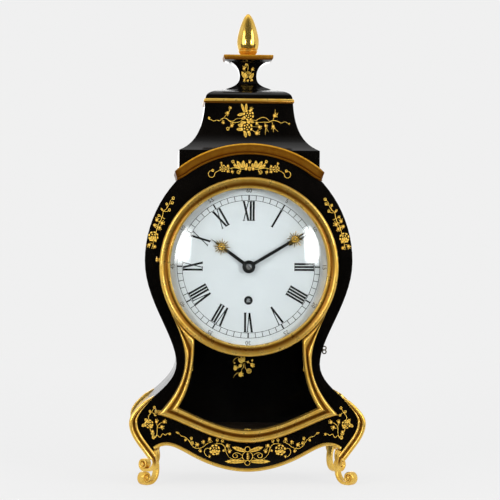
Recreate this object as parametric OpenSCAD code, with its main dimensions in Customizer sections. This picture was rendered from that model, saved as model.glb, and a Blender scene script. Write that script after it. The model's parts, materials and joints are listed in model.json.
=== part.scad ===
// Waisted bracket clock of the Jura kind: a lacquered violin-shaped case on gilt scroll feet,
// a bell-shaped hat with a finial, a glazed front door, a dial with two hands, and an
// eight-day movement with a lever escapement. Millimetres, +Z up, the front faces -Y.

/* [Case outline] */
// Width of the case at its belly, beside the dial
belly_w = 258.8; // [256:0.2:264]
// Height of the belly's widest point
belly_z = 278; // [276:1:282]
// Height of the top of the case's arch
arch_top_z = 424; // [421:1:427]
// Width of the case at its waist
waist_w = 178.8; // [176:0.2:184]
// Height of the waist
waist_z = 150; // [146:1:154]
// Width of the case at its knees
knee_w = 289.2; // [284:0.2:292]
// Height of the knees
knee_z = 76; // [74:1:79]
// Width between the lowest corners of the front board
corner_w = 245; // [242:0.5:248]
// Height of the lowest corners of the front board
corner_z = 35.5; // [34:0.5:37]
// Height of the apron's lowest point, at the middle
apron_low_z = 17; // [14:0.5:22]
// Height of the apron's scallops beside the feet
apron_high_z = 45; // [42:0.5:48]
// Distance of each scallop's top from the middle
apron_high_x = 101; // [98:0.5:104]

/* [Case boards] */
// Depth of the case over its front board and back frame
case_depth = 130; // [126:1:134]
// Thickness of the front board
front_t = 10; // [9:0.5:11]
// Thickness of the back frame
back_t = 8; // [7:0.5:9]
// Thickness of the bent sides and the arch
side_t = 6; // [5:0.5:7]
// Height of the bottom board's underside
base_z = 60; // [57:1:63]
// Thickness of the bottom board
base_t = 6; // [5:0.5:8]
// Distance from the middle to the joint between side and arch
arch_joint_x = 92; // [91:0.5:96]
// Width of the opening in the back frame
back_open_w = 142; // [136:1:146]
// Height of the sill of the back opening
back_open_z = 126; // [122:1:130]
// Height of the back opening
back_open_h = 236; // [230:1:240]

/* [Cornice and hat] */
// Radius of the arched cornice's upper edge
cornice_r = 142; // [138:1:146]
// Height of the cornice's section
cornice_h = 13.5; // [12:0.5:15]
// How far the cornice stands out in front of the board
cornice_out = 9; // [7:0.5:11]
// How far the cornice stands out past the hat's sides
cornice_side_out = 5.2; // [4:0.1:6]
// Width of the hat at its plinth
hat_w = 175.2; // [172:0.2:178]
// Height of the plinth's upper edge
plinth_z = 416; // [414:0.5:419]
// Height of the bell's upper edge
bell_z = 476; // [473:0.5:479]
// Width of the bell at its upper edge
bell_w = 110.8; // [106:0.2:116]
// Thickness of the hat's walls
hat_wall = 5; // [4:0.5:6]
// Height of the gilt band
band_h = 6; // [5:0.5:7]
// How far the gilt band stands out
band_out = 1.4; // [1:0.1:2]
// Height of the shoulder over the band
shoulder_h = 13; // [12:0.5:15]
// Width of the neck at its foot
neck_foot_w = 59; // [56:0.5:62]
// Width of the neck at its waist
neck_w = 21.4; // [20:0.2:24]
// Height of the neck
neck_h = 38; // [36:0.5:42]
// Width of the cap plate
cap_w = 63; // [60:0.5:68]
// Thickness of the cap plate
cap_t = 6; // [5:0.5:7]
// Height of the finial over the cap plate
finial_h = 54; // [50:1:58]
// Largest radius of the finial
finial_r = 14; // [13:0.5:15]
// Radius of the rod that holds the finial
rod_r = 2.5; // [2:0.1:3]

/* [Feet and trim] */
// How far the corner mounts stand out past the case
mount_out = 3; // [2:0.5:4]
// Width of the corner mounts' front flanges at their lower end
mount_flange = 7.5; // [6:0.5:8.5]
// Width of the corner mounts' side flanges
mount_side = 10; // [8:0.5:14]
// Height of the corner mounts' upper tips
mount_tip_z = 111; // [108:1:114]
// Radius of the scroll at each foot
scroll_r = 9.4; // [8.6:0.1:9.8]
// Width of each leg at its ankle, across the diagonal
leg_t = 9.4; // [8:0.2:11]
// Distance from each leg's root out to its scroll's centre
scroll_out = 14; // [13:0.5:15]
// Height of the gilt strip along the apron
strip_h = 4.4; // [3.6:0.2:5]

/* [Dial and hands] */
// Height of the dial's centre
dial_z = 271; // [270:0.5:272]
// Radius of the dial
dial_r = 103; // [101:0.5:103.4]
// Thickness of the dial
dial_t = 1.5; // [1:0.25:2]
// How far the dial lies behind the front of the board
dial_set = 7.5; // [7:0.25:8]
// Radius of the board's opening round the dial
dial_open_r = 104; // [103.8:0.2:105]
// Radius of the plate that carries the dial and the movement
mask_r = 112; // [110:0.5:114]
// Distance from the centre down to the winding arbor
winding_drop = 42; // [41:0.25:43]
// Radius of the winding hole
winding_hole_r = 5.4; // [5:0.1:6]
// Length of the minute hand
minute_len = 78; // [72:1:82]
// Length of the hour hand
hour_len = 60; // [55:1:62]
// Radius of the gilt star on each hand
star_r = 9; // [8:0.5:10]
// Thickness of the hands
hand_t = 0.9; // [0.7:0.1:1.2]
// Angle of the minute hand past twelve, in degrees
minute_at = 59; // [0:1:359]
// Angle of the hour hand past twelve, in degrees
hour_at = 306; // [0:1:359]

/* [Front door] */
// Outer radius of the door's ring
ring_ro = 111.4; // [110.8:0.2:111.8]
// Inner radius of the door's ring
ring_ri = 97.6; // [96:0.2:98.6]
// Width of the door across its pointed corners
tip_w = 225; // [222:0.5:226]
// Height of the door's pointed corners
tip_z = 87; // [85:0.5:89]
// Width of the door at its waist
door_waist_w = 157.2; // [155:0.2:160]
// Height of the door's lowest point
door_low_z = 52.6; // [50:0.2:55]
// Width of the lower pane at its waist
pane_w = 136; // [133:0.2:138]
// Width between the lower pane's lower corners
pane_corner_w = 174; // [171:0.5:176]
// Height of the lower pane's lower corners
pane_corner_z = 96; // [95:0.5:98]
// Height of the lower pane's lowest point
pane_low_z = 68; // [66.5:0.5:70]
// Thickness of the door's plate
leaf_t = 4; // [3.5:0.25:4.5]
// Height of the gilt moulding on the door's plate
bead_h = 7.6; // [6.6:0.2:8.4]
// Thickness of the glass
glass_t = 2; // [1.6:0.1:2.2]
// Rise of the convex dial glass
glass_rise = 15; // [13:0.5:15.5]
// Running clearance between the door and the board
door_gap = 0.4; // [0.3:0.1:0.6]
// Distance of the door's hinge pins outside its pointed corners
hinge_out = 1.9; // [1.8:0.1:2.6]
// Radius of the bent wire of the door's hinge pins
pin_r = 0.7; // [0.6:0.05:0.8]
// Length of the door's hinge pins
pin_len = 7; // [6:0.5:9]

/* [Lock] */
// Height of the key at the right side
key_z = 167; // [165:1:168]
// Distance of the key behind the front of the board
key_set = 16; // [15:0.5:18]
// Radius of the key's shaft
key_shaft_r = 1.4; // [1.2:0.1:1.6]
// Radius of each loop of the key's bow
bow_r = 2.3; // [2:0.1:2.6]
// Radius of the bow's wire
bow_wire_r = 0.75; // [0.6:0.05:0.9]

/* [Movement] */
// Width of the plates
plate_w = 92; // [90:1:96]
// Thickness of the plates
plate_t = 2; // [1.8:0.1:2.2]
// Distance between the plates
plate_gap = 30; // [30:0.5:32]
// Distance from the mask plate to the front plate
front_gap = 7.6; // [7.4:0.2:8.6]
// Length of the plates below the winding arbor
plate_under = 40; // [38:1:44]
// Length of the plates above the dial's centre
plate_over = 54; // [52:1:58]
// Radius of the pillars
pillar_r = 3.5; // [3:0.25:4]
// Radius of the barrel's drum
drum_r = 27.5; // [26:0.5:28]
// Radius of the balance's rim
balance_r = 9; // [8:0.5:9.5]
// Thickness of the train's wheels
wheel_t = 1.4; // [1.2:0.1:1.5]
// Share of the pitch that each tooth fills
tooth_share = 0.4; // [0.34:0.02:0.42]

/* [Hidden] */
$fn = 48;
eps = 0.01;
fit = 0.3;    // gap between neighbours that only touch on the real clock
run = 0.06;   // radial running clearance of a pivot

front_y = -case_depth / 2;
back_y = case_depth / 2;
belly_hw = belly_w / 2;
body_arc_r = (pow(belly_hw, 2) + pow(arch_top_z - belly_z, 2)) / belly_w;
hat_k = case_depth / hat_w;   // depth of the hat as a share of its width

// Curves

function bezier(a, b, c, d, n) = [for (i = [0 : n - 1]) let (t = i / n, s = 1 - t)
    s * s * s * a + 3 * s * s * t * b + 3 * s * t * t * c + t * t * t * d];
function arc(cx, cz, r, a0, a1, n) = [for (i = [0 : n - 1]) let (a = a0 + (a1 - a0) * i / n)
    [cx + r * cos(a), cz + r * sin(a)]];
function flipped(pts) = [for (i = [len(pts) - 1 : -1 : 0]) [-pts[i][0], pts[i][1]]];
function unit(v) = v / norm(v);

// Points of a closed clockwise outline, each moved in by d along its mitre
function inset(pts, d) = [for (i = [0 : len(pts) - 1])
    let (n = len(pts), a = pts[(i + n - 1) % n], b = pts[i], c = pts[(i + 1) % n],
        u = unit(b - a), v = unit(c - b),
        nu = [u[1], -u[0]], nv = [v[1], -v[0]], m = nu + nv)
    b + m * d / (1 + nu * nv)];

// Case outline from the middle of the arch round the right side to the middle of the apron
arc_start = acos((body_arc_r - belly_hw) / body_arc_r);
side_curve = concat(
    bezier([belly_hw, belly_z], [belly_hw, belly_z - 50], [waist_w / 2, waist_z + 34],
        [waist_w / 2, waist_z], 14),
    bezier([waist_w / 2, waist_z], [waist_w / 2, waist_z - 32], [knee_w / 2, knee_z + 22],
        [knee_w / 2, knee_z], 14),
    bezier([knee_w / 2, knee_z], [knee_w / 2, knee_z - 14], [corner_w / 2 + 10, corner_z + 14],
        [corner_w / 2, corner_z], 6));
apron_curve = concat(
    bezier([corner_w / 2, corner_z], [corner_w / 2 - 7, corner_z + 7],
        [apron_high_x + 9, apron_high_z], [apron_high_x, apron_high_z], 5),
    bezier([apron_high_x, apron_high_z], [apron_high_x - 19, apron_high_z], [45, apron_low_z],
        [0, apron_low_z], 12));
arch_curve = arc(belly_hw - body_arc_r, belly_z, body_arc_r, arc_start, 0, 20);
half_outline = concat(arch_curve, side_curve, apron_curve);
outline = concat(half_outline, [[0, apron_low_z]],
    [for (p = flipped(half_outline)) if (p[0] < -eps) p]);
inner_outline = inset(outline, side_t);

// Upright solid: an outline in X and Z, from y0 back to y1
module slab(pts, y0, y1) {
    translate([0, y1, 0]) rotate([90, 0, 0]) linear_extrude(y1 - y0) polygon(pts);
}

module disc(x, z, r, y0, y1, fn = 96) {
    translate([x, y1, z]) rotate([90, 0, 0]) cylinder(r = r, h = y1 - y0, $fn = fn);
}

module block(x0, x1, y0, y1, z0, z1) {
    translate([x0, y0, z0]) cube([x1 - x0, y1 - y0, z1 - z0]);
}

// Door outlines

leave_a = -22.7;   // where the skirt leaves the door's ring, in degrees
leave = [ring_ro * cos(leave_a), dial_z + ring_ro * sin(leave_a)];
leave_dir = [sin(leave_a), -cos(leave_a)];
door_waist_z = 156;
skirt_side = concat(
    bezier(leave, leave + 26 * leave_dir, [door_waist_w / 2, door_waist_z + 24],
        [door_waist_w / 2, door_waist_z], 12),
    bezier([door_waist_w / 2, door_waist_z], [door_waist_w / 2, door_waist_z - 28],
        [tip_w / 2 - 18.5, tip_z + 19], [tip_w / 2, tip_z], 12),
    [[tip_w / 2, tip_z]]);
skirt_bottom = concat(
    bezier([tip_w / 2, tip_z], [tip_w / 2 - 24.5, tip_z - 3], [46, door_low_z],
        [0, door_low_z], 16),
    [[0, door_low_z]]);
pane_top_x = pane_w / 2 - 0.5;
pane_top = [pane_top_x, dial_z - sqrt(pow(ring_ro, 2) - pow(pane_top_x, 2))];
pane_side = concat(
    bezier(pane_top, [pane_w / 2 - 1.5, 150], [pane_corner_w / 2 - 15, pane_corner_z + 22],
        [pane_corner_w / 2, pane_corner_z], 24),
    [[pane_corner_w / 2, pane_corner_z]]);
pane_bottom = concat(
    bezier([pane_corner_w / 2, pane_corner_z], [60, pane_corner_z - 13], [30, pane_low_z],
        [0, pane_low_z], 16),
    [[0, pane_low_z]]);

// Closed outline from its right half, without points that repeat
function mirrored_loop(half) =
    let (clean = [for (i = [0 : len(half) - 1])
        if (i == 0 || norm(half[i] - half[max(i - 1, 0)]) > eps) half[i]])
    concat(clean, [for (p = flipped(clean)) if (p[0] < -eps) p]);
// Everything within the skirt, closed through the dial's centre
skirt_outline = mirrored_loop(concat([[0, dial_z]], skirt_side, skirt_bottom));
// Everything within the lower pane, closed through a point behind the ring
pane_outline = mirrored_loop(concat([[0, dial_z - 60]], pane_side, pane_bottom));

leaf_back = front_y - door_gap;
leaf_front = leaf_back - leaf_t;

module pane_solid(grow, y0, y1) {
    difference() {
        slab(inset(pane_outline, -grow), y0, y1);
        disc(0, dial_z, ring_ro - grow, y0 - 1, y1 + 1, 128);
    }
}

// Case

lower_open_grow = 8.5;   // how much wider the board's lower opening is than the pane

module front_board() {
    color([0.02, 0.02, 0.02]) difference() {
        slab(outline, front_y, front_y + front_t);
        disc(0, dial_z, dial_open_r, front_y - 1, front_y + front_t + 1, 128);
        for (z = hinge_zs) disc(-hinge_x, z, pin_r + run, front_y - 1, front_y + 6, 32);
        difference() {
            slab(inset(pane_outline, -lower_open_grow), front_y - 1, front_y + front_t + 1);
            disc(0, dial_z, ring_ro - pane_lap - 2 * fit, front_y - 2, front_y + front_t + 2, 128);
        }
    }
}

shell_y0 = front_y + front_t;
shell_y1 = back_y - back_t;

// Bent wall between the outline and the inner outline
module shell(y0, y1) {
    difference() {
        slab(outline, y0, y1);
        slab(inner_outline, y0 - 1, y1 + 1);
    }
}

side_scallop = 10;     // rise of the scallop under each side
scallop_r = 58;        // radius of that scallop
// Bent side of the right half, from the arch down to the corner
module side_board() {
    difference() {
        shell(shell_y0, shell_y1);
        block(-200, 0, shell_y0 - 1, shell_y1 + 1, 0, 500);
        block(-1, arch_joint_x, shell_y0 - 1, shell_y1 + 1, 250, 500);
        block(-1, corner_w / 2 - side_t - 3, shell_y0 - 1, shell_y1 + 1, 0, base_z);
        translate([corner_w / 2 - 20, 0, corner_z + side_scallop - scallop_r])
            rotate([0, 90, 0]) cylinder(r = scallop_r, h = 60, $fn = 96);
    }
}

module right_side() {
    color([0.03, 0.03, 0.03]) difference() {
        side_board();
        translate([keyhole_x - 20, lock_y, key_z]) rotate([0, 90, 0])
            cylinder(r = key_shaft_r + run, h = 40);
    }
}

module left_side() {
    color([0.03, 0.03, 0.03]) mirror([1, 0, 0]) side_board();
}

module arch_board() {
    color([0.03, 0.03, 0.03]) intersection() {
        shell(shell_y0, shell_y1);
        block(-arch_joint_x, arch_joint_x, shell_y0 - 1, shell_y1 + 1, 300, 500);
    }
}

module bottom_board() {
    color([0.03, 0.03, 0.03]) intersection() {
        slab(inset(outline, side_t + fit / 2), shell_y0, shell_y1);
        block(-200, 200, shell_y0 - 1, shell_y1 + 1, base_z, base_z + base_t);
    }
}

module back_frame() {
    color([0.03, 0.03, 0.03]) difference() {
        slab(outline, back_y - back_t, back_y);
        block(-back_open_w / 2, back_open_w / 2, back_y - back_t - 1, back_y + 1,
            back_open_z, back_open_z + back_open_h);
        block(-90, 90, back_y - back_t - 1, back_y + 1, 0, corner_z + 8);
    }
}

// Back door, hinged at the left seen from the front, with a turn button at the other side

back_leaf_t = 6;
back_pin_x = -back_open_w / 2 - 2.6;
back_pin_y = back_y + 2.8;
back_knuckle_r = 2.2;
back_pin_r = 1;
back_knuckles = [back_open_z + 36, back_open_z + back_open_h - 36];
knuckle_h = 8;   // length of each knuckle of the back hinges
catch_x = back_open_w / 2 + 5;
catch_z = back_open_z + back_open_h / 2;

module back_door() {
    color([0.04, 0.03, 0.025]) block(-back_open_w / 2 + 0.8, back_open_w / 2 - 0.8,
        back_y - back_leaf_t, back_y, back_open_z + 0.8, back_open_z + back_open_h - 0.8);
}

// Moving halves of the back hinges: a flap on the door and one knuckle at each
module back_hinge_leaves() {
    color([0.6, 0.45, 0.2]) for (z = back_knuckles) difference() {
        union() {
            block(back_pin_x, -back_open_w / 2 + 12, back_y, back_y + 1.5,
                z - knuckle_h / 2, z + knuckle_h / 2);
            translate([back_pin_x, back_pin_y, z - knuckle_h / 2])
                cylinder(r = back_knuckle_r, h = knuckle_h);
        }
        translate([back_pin_x, back_pin_y, z - knuckle_h])
            cylinder(r = back_pin_r + run, h = 2 * knuckle_h);
        block(back_pin_x - 3, -back_open_w / 2 + 0.6, back_y - 1, back_y + fit,
            z - knuckle_h, z + knuckle_h);
    }
}

// Fixed halves of the back hinges: two knuckles, a flap and the pin at each
module back_hinges() {
    color([0.6, 0.45, 0.2]) for (z = back_knuckles) {
        for (s = [-1, 1]) {
            zk = z + s * (knuckle_h + fit);
            translate([back_pin_x, back_pin_y, zk - knuckle_h / 2])
                cylinder(r = back_knuckle_r, h = knuckle_h);
            block(back_pin_x - 10, back_pin_x, back_y, back_y + 1.5,
                zk - knuckle_h / 2, zk + knuckle_h / 2);
        }
        translate([back_pin_x, back_pin_y, z - 1.5 * knuckle_h])
            cylinder(r = back_pin_r, h = 3 * knuckle_h);
        block(back_pin_x - 10, back_pin_x - 5, back_y, back_y + 1.5,
            z - knuckle_h, z + knuckle_h);
    }
}

catch_len = 20;
module back_catch() {
    color([0.6, 0.45, 0.2]) {
        block(catch_x - 3, catch_x + 3, back_y + fit, back_y + 2.3,
            catch_z - catch_len / 2, catch_z + catch_len / 2);
        disc(catch_x, catch_z, 3, back_y + 2, back_y + 4);
    }
}

// Cornice: an arched front moulding and a level return along each side

cornice_cz = arch_top_z + fit - cornice_r;
cornice_hw = hat_w / 2 + cornice_side_out;
cornice_end_z = cornice_cz + sqrt(pow(cornice_r, 2) - pow(cornice_hw, 2));
cornice_step = 3.4;   // height of each fillet on the cornice
cornice_ends = [[-cornice_hw, cornice_cz], [-cornice_hw, 2 * arch_top_z],
    [cornice_hw, 2 * arch_top_z], [cornice_hw, cornice_cz]];

module arc_band(r0, r1, y0, y1) {
    intersection() {
        difference() {
            disc(0, cornice_cz, r1, y0, y1, 200);
            disc(0, cornice_cz, r0, y0 - 1, y1 + 1, 200);
        }
        slab(cornice_ends, y0 - 1, y1 + 1);
        block(-cornice_hw, cornice_hw, y0 - 1, y1 + 1, cornice_cz, 600);
    }
}

module cornice() {
    r0 = cornice_r - cornice_h;
    side_z0 = cornice_end_z - cornice_h + 2;
    color([0.72, 0.5, 0.16]) {
        arc_band(r0, cornice_r, front_y - cornice_out * 0.55, front_y);
        arc_band(r0 + cornice_step * 1.4, cornice_r, front_y - cornice_out * 0.8, front_y);
        arc_band(cornice_r - cornice_step, cornice_r, front_y - cornice_out, front_y);
        difference() {
            for (s = [0, 1]) mirror([s, 0, 0]) {
                block(hat_w / 2 + fit, cornice_hw - 1.6, front_y, back_y,
                    side_z0, cornice_end_z - 0.2);
                block(hat_w / 2 + fit, cornice_hw, front_y, back_y,
                    side_z0 + cornice_step, cornice_end_z - 0.2);
            }
            slab(outline, front_y - 1, back_y + 1);
        }
    }
}

// Hat: square-cornered pieces whose depth is a fixed share of their width.
// profile lists [half width, height] from the bottom up.
module mitred(profile) {
    loop = concat(profile, [for (i = [len(profile) - 1 : -1 : 0]) [-profile[i][0], profile[i][1]]]);
    reach = max([for (p = profile) p[0]]) + 1;
    intersection() {
        slab(loop, -reach, reach);
        translate([reach, 0, 0]) rotate([90, 0, -90]) linear_extrude(2 * reach)
            polygon([for (p = loop) [p[0] * hat_k, p[1]]]);
    }
}

bell_curve = bezier([hat_w / 2, plinth_z], [hat_w / 2 - 19, plinth_z + 8],
    [bell_w / 2 + 2, plinth_z + 26], [bell_w / 2, bell_z], 12);
plinth_low = cornice_end_z - cornice_h;

module hat_body() {
    outer = concat([[hat_w / 2, plinth_low]], bell_curve, [[bell_w / 2, bell_z]]);
    inner = concat([[hat_w / 2 - hat_wall, plinth_low - 1], [hat_w / 2 - hat_wall, plinth_z - 2]],
        [for (i = [1 : len(bell_curve) - 1])
            [bell_curve[i][0] - hat_wall, bell_curve[i][1] - hat_wall * 0.6]],
        [[bell_w / 2 - hat_wall, bell_z - hat_wall]]);
    color([0.03, 0.03, 0.03]) difference() {
        mitred(outer);
        mitred(inner);
        slab(inset(outline, -fit), front_y - 1, back_y + 1);
        translate([0, 0, bell_z - 2 * hat_wall]) cylinder(r = rod_r + fit, h = 3 * hat_wall);
    }
}

band_z1 = bell_z + band_h;
module hat_band() {
    hw = bell_w / 2 + band_out;
    color([0.75, 0.53, 0.18]) difference() {
        mitred([[hw - band_out, bell_z], [hw, bell_z + band_h * 0.25],
            [hw, bell_z + band_h * 0.75], [hw - band_out, band_z1]]);
        translate([0, 0, bell_z - 1]) cylinder(r = rod_r + fit, h = band_h + 2);
    }
}

shoulder_z1 = band_z1 + shoulder_h;
module hat_shoulder() {
    curve = bezier([bell_w / 2 - 0.6, band_z1], [bell_w / 2 - 1, band_z1 + 8],
        [bell_w / 2 - 9, shoulder_z1 - 3], [neck_foot_w / 2 + 1, shoulder_z1], 10);
    color([0.03, 0.03, 0.03]) difference() {
        mitred(concat(curve, [[neck_foot_w / 2 + 1, shoulder_z1]]));
        translate([0, 0, band_z1 - 1]) cylinder(r = rod_r + fit, h = shoulder_h + 2);
    }
}

neck_z1 = shoulder_z1 + neck_h;
module hat_neck() {
    mid = shoulder_z1 + neck_h * 0.46;
    curve = concat(
        bezier([neck_foot_w / 2, shoulder_z1], [neck_w / 2 + 5, shoulder_z1 + 5],
            [neck_w / 2, mid - 9], [neck_w / 2, mid], 10),
        bezier([neck_w / 2, mid], [neck_w / 2, mid + 10], [cap_w / 2 - 16, neck_z1 - 4],
            [cap_w / 2 - 2, neck_z1], 10),
        [[cap_w / 2 - 2, neck_z1]]);
    color([0.03, 0.03, 0.03]) difference() {
        mitred(curve);
        translate([0, 0, shoulder_z1 - 1]) cylinder(r = rod_r + fit, h = neck_h + 2);
    }
}

cap_z1 = neck_z1 + cap_t;
module cap_plate() {
    color([0.66, 0.42, 0.12]) difference() {
        mitred([[cap_w / 2 - 1.6, neck_z1], [cap_w / 2 - 0.4, neck_z1 + cap_t * 0.3],
            [cap_w / 2, cap_z1 - 1], [cap_w / 2 - 0.5, cap_z1]]);
        translate([0, 0, neck_z1 - 1]) cylinder(r = rod_r + fit, h = cap_t + 2);
    }
}

// Acorn finial: a turned cup with a nut that rises to a blunt point
module finial() {
    cup = finial_h * 0.12;
    body = concat(
        bezier([finial_r * 0.86, cup + 0.8], [finial_r * 1.02, cup + 5],
            [finial_r * 1.04, finial_h * 0.46], [finial_r * 0.8, finial_h * 0.62], 12),
        bezier([finial_r * 0.8, finial_h * 0.62], [finial_r * 0.58, finial_h * 0.8],
            [finial_r * 0.36, finial_h], [0, finial_h], 12));
    color([0.78, 0.56, 0.2]) translate([0, 0, cap_z1]) difference() {
        rotate_extrude($fn = 96) polygon(concat(
            [[0, 0], [finial_r * 0.56, 0], [finial_r * 0.7, cup * 0.4], [finial_r * 0.84, cup],
                [finial_r * 0.8, cup + 0.6]],
            body, [[0, finial_h]]));
        translate([0, 0, -1]) cylinder(r = rod_r + run, h = 13);
    }
}

module finial_rod() {
    rod_z0 = bell_z - hat_wall - 4;
    color([0.5, 0.5, 0.5]) {
        translate([0, 0, rod_z0]) cylinder(r = rod_r, h = cap_z1 + 11 - rod_z0);
        translate([0, 0, rod_z0]) cylinder(r = rod_r * 2.4, h = 3.4, $fn = 6);
    }
}

// Corner mount with its scroll foot, for the front right corner

mount_curve = [for (p = side_curve) if (p[1] < mount_tip_z) p];
mount_line = concat(mount_curve, [[corner_w / 2, corner_z]]);
mount_lap = 1.2;   // how far the front flange and the side flange lap at the corner

// Strip beside a line, from inside mm within it to outside mm beyond it, slimmer at its start
function strip_points(line, inside, outside) =
    let (n = len(line), normal = [for (i = [0 : n - 1])
        let (d = unit(line[min(i + 1, n - 1)] - line[max(i - 1, 0)])) [d[1], -d[0]]])
    concat([for (i = [0 : n - 1]) line[i] - normal[i] * outside * min(1, (i + 1) / 4)],
        [for (i = [n - 1 : -1 : 0]) line[i] + normal[i] * inside * (i + 0.4) / (n - 0.6)]);

// Outline of the leg and its scroll in the plane of the diagonal: [distance out, height]
leg_top = corner_z + 8.5;
notch = [scroll_out - 13, scroll_r * 1.38];   // where the leg's outer side meets the scroll
leg_profile = concat(
    bezier([-6, leg_top], [-8, 32], [-7.4, 22], [-6.6, 16], 6),
    bezier([-6.6, 16], [-5.8, 4], [-1, 0], [scroll_out - 6, 0], 10),
    arc(scroll_out, scroll_r, scroll_r, -90, 112, 16),
    bezier([scroll_out + scroll_r * cos(112), scroll_r * (1 + sin(112))],
        [scroll_out - 7, scroll_r * 1.8], notch + [2, -1], notch, 4),
    bezier(notch, notch + [-3.6, 4], [-2, 24], [1.5, 31], 6),
    bezier([1.5, 31], [3.5, 35], [6, 39], [7.5, leg_top], 4),
    [[7.5, leg_top]]);
// Outline of the leg seen along the diagonal: [distance across, height]
ankle = leg_t / 2;
leg_width = concat(
    bezier([ankle * 1.5, leg_top], [ankle * 1.5, 36], [ankle, 32], [ankle, 22], 8),
    [[ankle, 22], [ankle * 0.96, 14], [ankle * 1.12, 6], [ankle * 1.12, 0]]);
leg_across = concat(leg_width, flipped(leg_width));
scroll_w = ankle * 1.12 + 1.4;   // half the width of the scroll over its eyes
sole = 0.3;                      // how much is filed off under each scroll to make it stand

module corner_foot() {
    root = [corner_w / 2 - 4.5, front_y + 4];
    color([0.75, 0.53, 0.18]) difference() {
        union() {
            slab(strip_points(mount_line, 0, mount_out), front_y - mount_lap,
                front_y + mount_side);
            slab(strip_points(mount_line, mount_flange, mount_lap), front_y - mount_out, front_y);
            translate([root[0], root[1], -sole]) rotate([0, 0, -45]) {
                intersection() {
                    slab(leg_profile, -2 * ankle, 2 * ankle);
                    translate([40, 0, 0]) rotate([90, 0, -90]) linear_extrude(60)
                        polygon(leg_across);
                }
                disc(scroll_out, scroll_r, scroll_r * 0.45, -scroll_w, scroll_w);
            }
        }
        slab(outline, front_y, 0);
        block(root[0] - 20, root[0] + 40, root[1] - 40, root[1] + 20, -sole - 1, 0);
    }
}

module foot_front_right() { corner_foot(); }
module foot_front_left() { mirror([1, 0, 0]) corner_foot(); }
module foot_back_right() { mirror([0, 1, 0]) corner_foot(); }
module foot_back_left() { mirror([1, 0, 0]) mirror([0, 1, 0]) corner_foot(); }

// Gilt strip under and in front of the apron's lower edge
strip_half = concat([for (p = apron_curve) if (p[0] < corner_w / 2 - mount_flange - 4) p],
    [[0, apron_low_z]]);
strip_line = concat([for (p = strip_half) if (p[0] > eps) p], [[0, apron_low_z]],
    [for (p = flipped(strip_half)) if (p[0] < -eps) p]);
strip_drop = 1.2;
module apron_strip() {
    under = concat([for (p = strip_line) p],
        [for (i = [len(strip_line) - 1 : -1 : 0]) strip_line[i] - [0, strip_drop]]);
    face = concat([for (p = strip_line) p + [0, strip_h - strip_drop]],
        [for (i = [len(strip_line) - 1 : -1 : 0]) strip_line[i] - [0, strip_drop]]);
    color([0.75, 0.53, 0.18]) {
        slab(under, front_y - 1.5, shell_y0);
        slab(face, front_y - 1.5, front_y);
    }
}

// Front door

// Gilt moulding's section: [share of the width from the outer edge, share of the height]
bead_profile = [[0, 0], [0, 0.5], [0.06, 0.82], [0.16, 0.95], [0.26, 0.82], [0.34, 0.5],
    [0.5, 0.36], [0.64, 0.5], [0.72, 0.85], [0.82, 1], [0.92, 0.85], [1, 0.45], [1, 0]];

hinge_x = tip_w / 2 + hinge_out;
hinge_y = front_y - 3;
hinge_zs = [tip_z + 0.5, dial_z + 5];
eye_r = pin_r + 0.8;
eye_h = 4;
eye_up = pin_r + fit;   // height of each eye over the axis of the pin's bent leg
tab_lip = 0.8;          // thickness of the tabs that hold the lower glass
pane_lap = 1.5;         // how far the lower glass lies behind the leaf all round
tab_z = 141;            // height of the side tabs
tab_x = max([for (p = pane_side) if (p[1] > tab_z - 5) p[0]]) + pane_lap + fit;

module door_leaf() {
    tab_back = glass_y + glass_t + fit + tab_lip;
    color([0.7, 0.5, 0.18]) {
        difference() {
            union() {
                disc(0, dial_z, ring_ro, leaf_front, leaf_back, 128);
                slab(skirt_outline, leaf_front, leaf_back);
                for (z = hinge_zs) {
                    translate([-hinge_x, hinge_y, z + eye_up]) cylinder(r = eye_r, h = eye_h);
                    block(-hinge_x, -tip_w / 2 + 6, hinge_y - 0.9, hinge_y + 1.1,
                        z + eye_up, z + eye_up + eye_h);
                }
            }
            disc(0, dial_z, ring_ri, leaf_front - 1, leaf_back + 1, 128);
            pane_solid(0, leaf_front - 1, leaf_back + 1);
            for (z = hinge_zs) translate([-hinge_x, hinge_y, z])
                cylinder(r = pin_r + run, h = 2 * eye_h);
        }
        // bent tabs that hold the lower glass at its foot and at both sides
        block(-4, 4, leaf_back, tab_back, pane_low_z - pane_lap - 2, pane_low_z - pane_lap - fit);
        block(-4, 4, tab_back - tab_lip, tab_back, pane_low_z - pane_lap - 2, pane_low_z + 1);
        for (s = [0, 1]) mirror([s, 0, 0]) {
            block(tab_x, tab_x + 1.2, leaf_back, tab_back, tab_z, tab_z + 6);
            block(tab_x - 3.5, tab_x + 1.2, tab_back - tab_lip, tab_back, tab_z, tab_z + 6);
        }
    }
}

// Ring of moulding round the dial glass
module dial_bezel() {
    w = ring_ro - ring_ri;
    color([0.78, 0.56, 0.2]) translate([0, leaf_front, dial_z]) rotate([90, 0, 0])
        rotate_extrude($fn = 160)
            polygon([for (p = bead_profile) [ring_ro - w * p[0], bead_h * p[1]]]);
}

// The skirt's moulding leaves the ring at a point and grows to its full section. Its outer
// line is the skirt's edge, and its inner line runs along the ring and then along the pane.
seam_r = ring_ro + fit;
skip = 3;             // points of the skirt's edge that lie too near the ring
seam_points = 10;
seam_a0 = -33.6;
seam_a1 = -53;
moulding_side = [for (i = [skip : len(skirt_side) - 1]) skirt_side[i]];
pane_points = len(moulding_side) - seam_points;
moulding_inner = concat(arc(0, dial_z, seam_r, seam_a0, seam_a1, seam_points),
    [for (i = [1 : pane_points - 1]) pane_side[i * 2]],
    [[pane_corner_w / 2, pane_corner_z]]);

// Open line down the right side, under the pane and up the left side
function round_skirt(side, bottom) =
    let (half = concat(side, [for (i = [1 : len(bottom) - 1]) bottom[i]]))
    concat(half, [for (p = flipped(half)) if (p[0] < -eps) p]);

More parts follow.
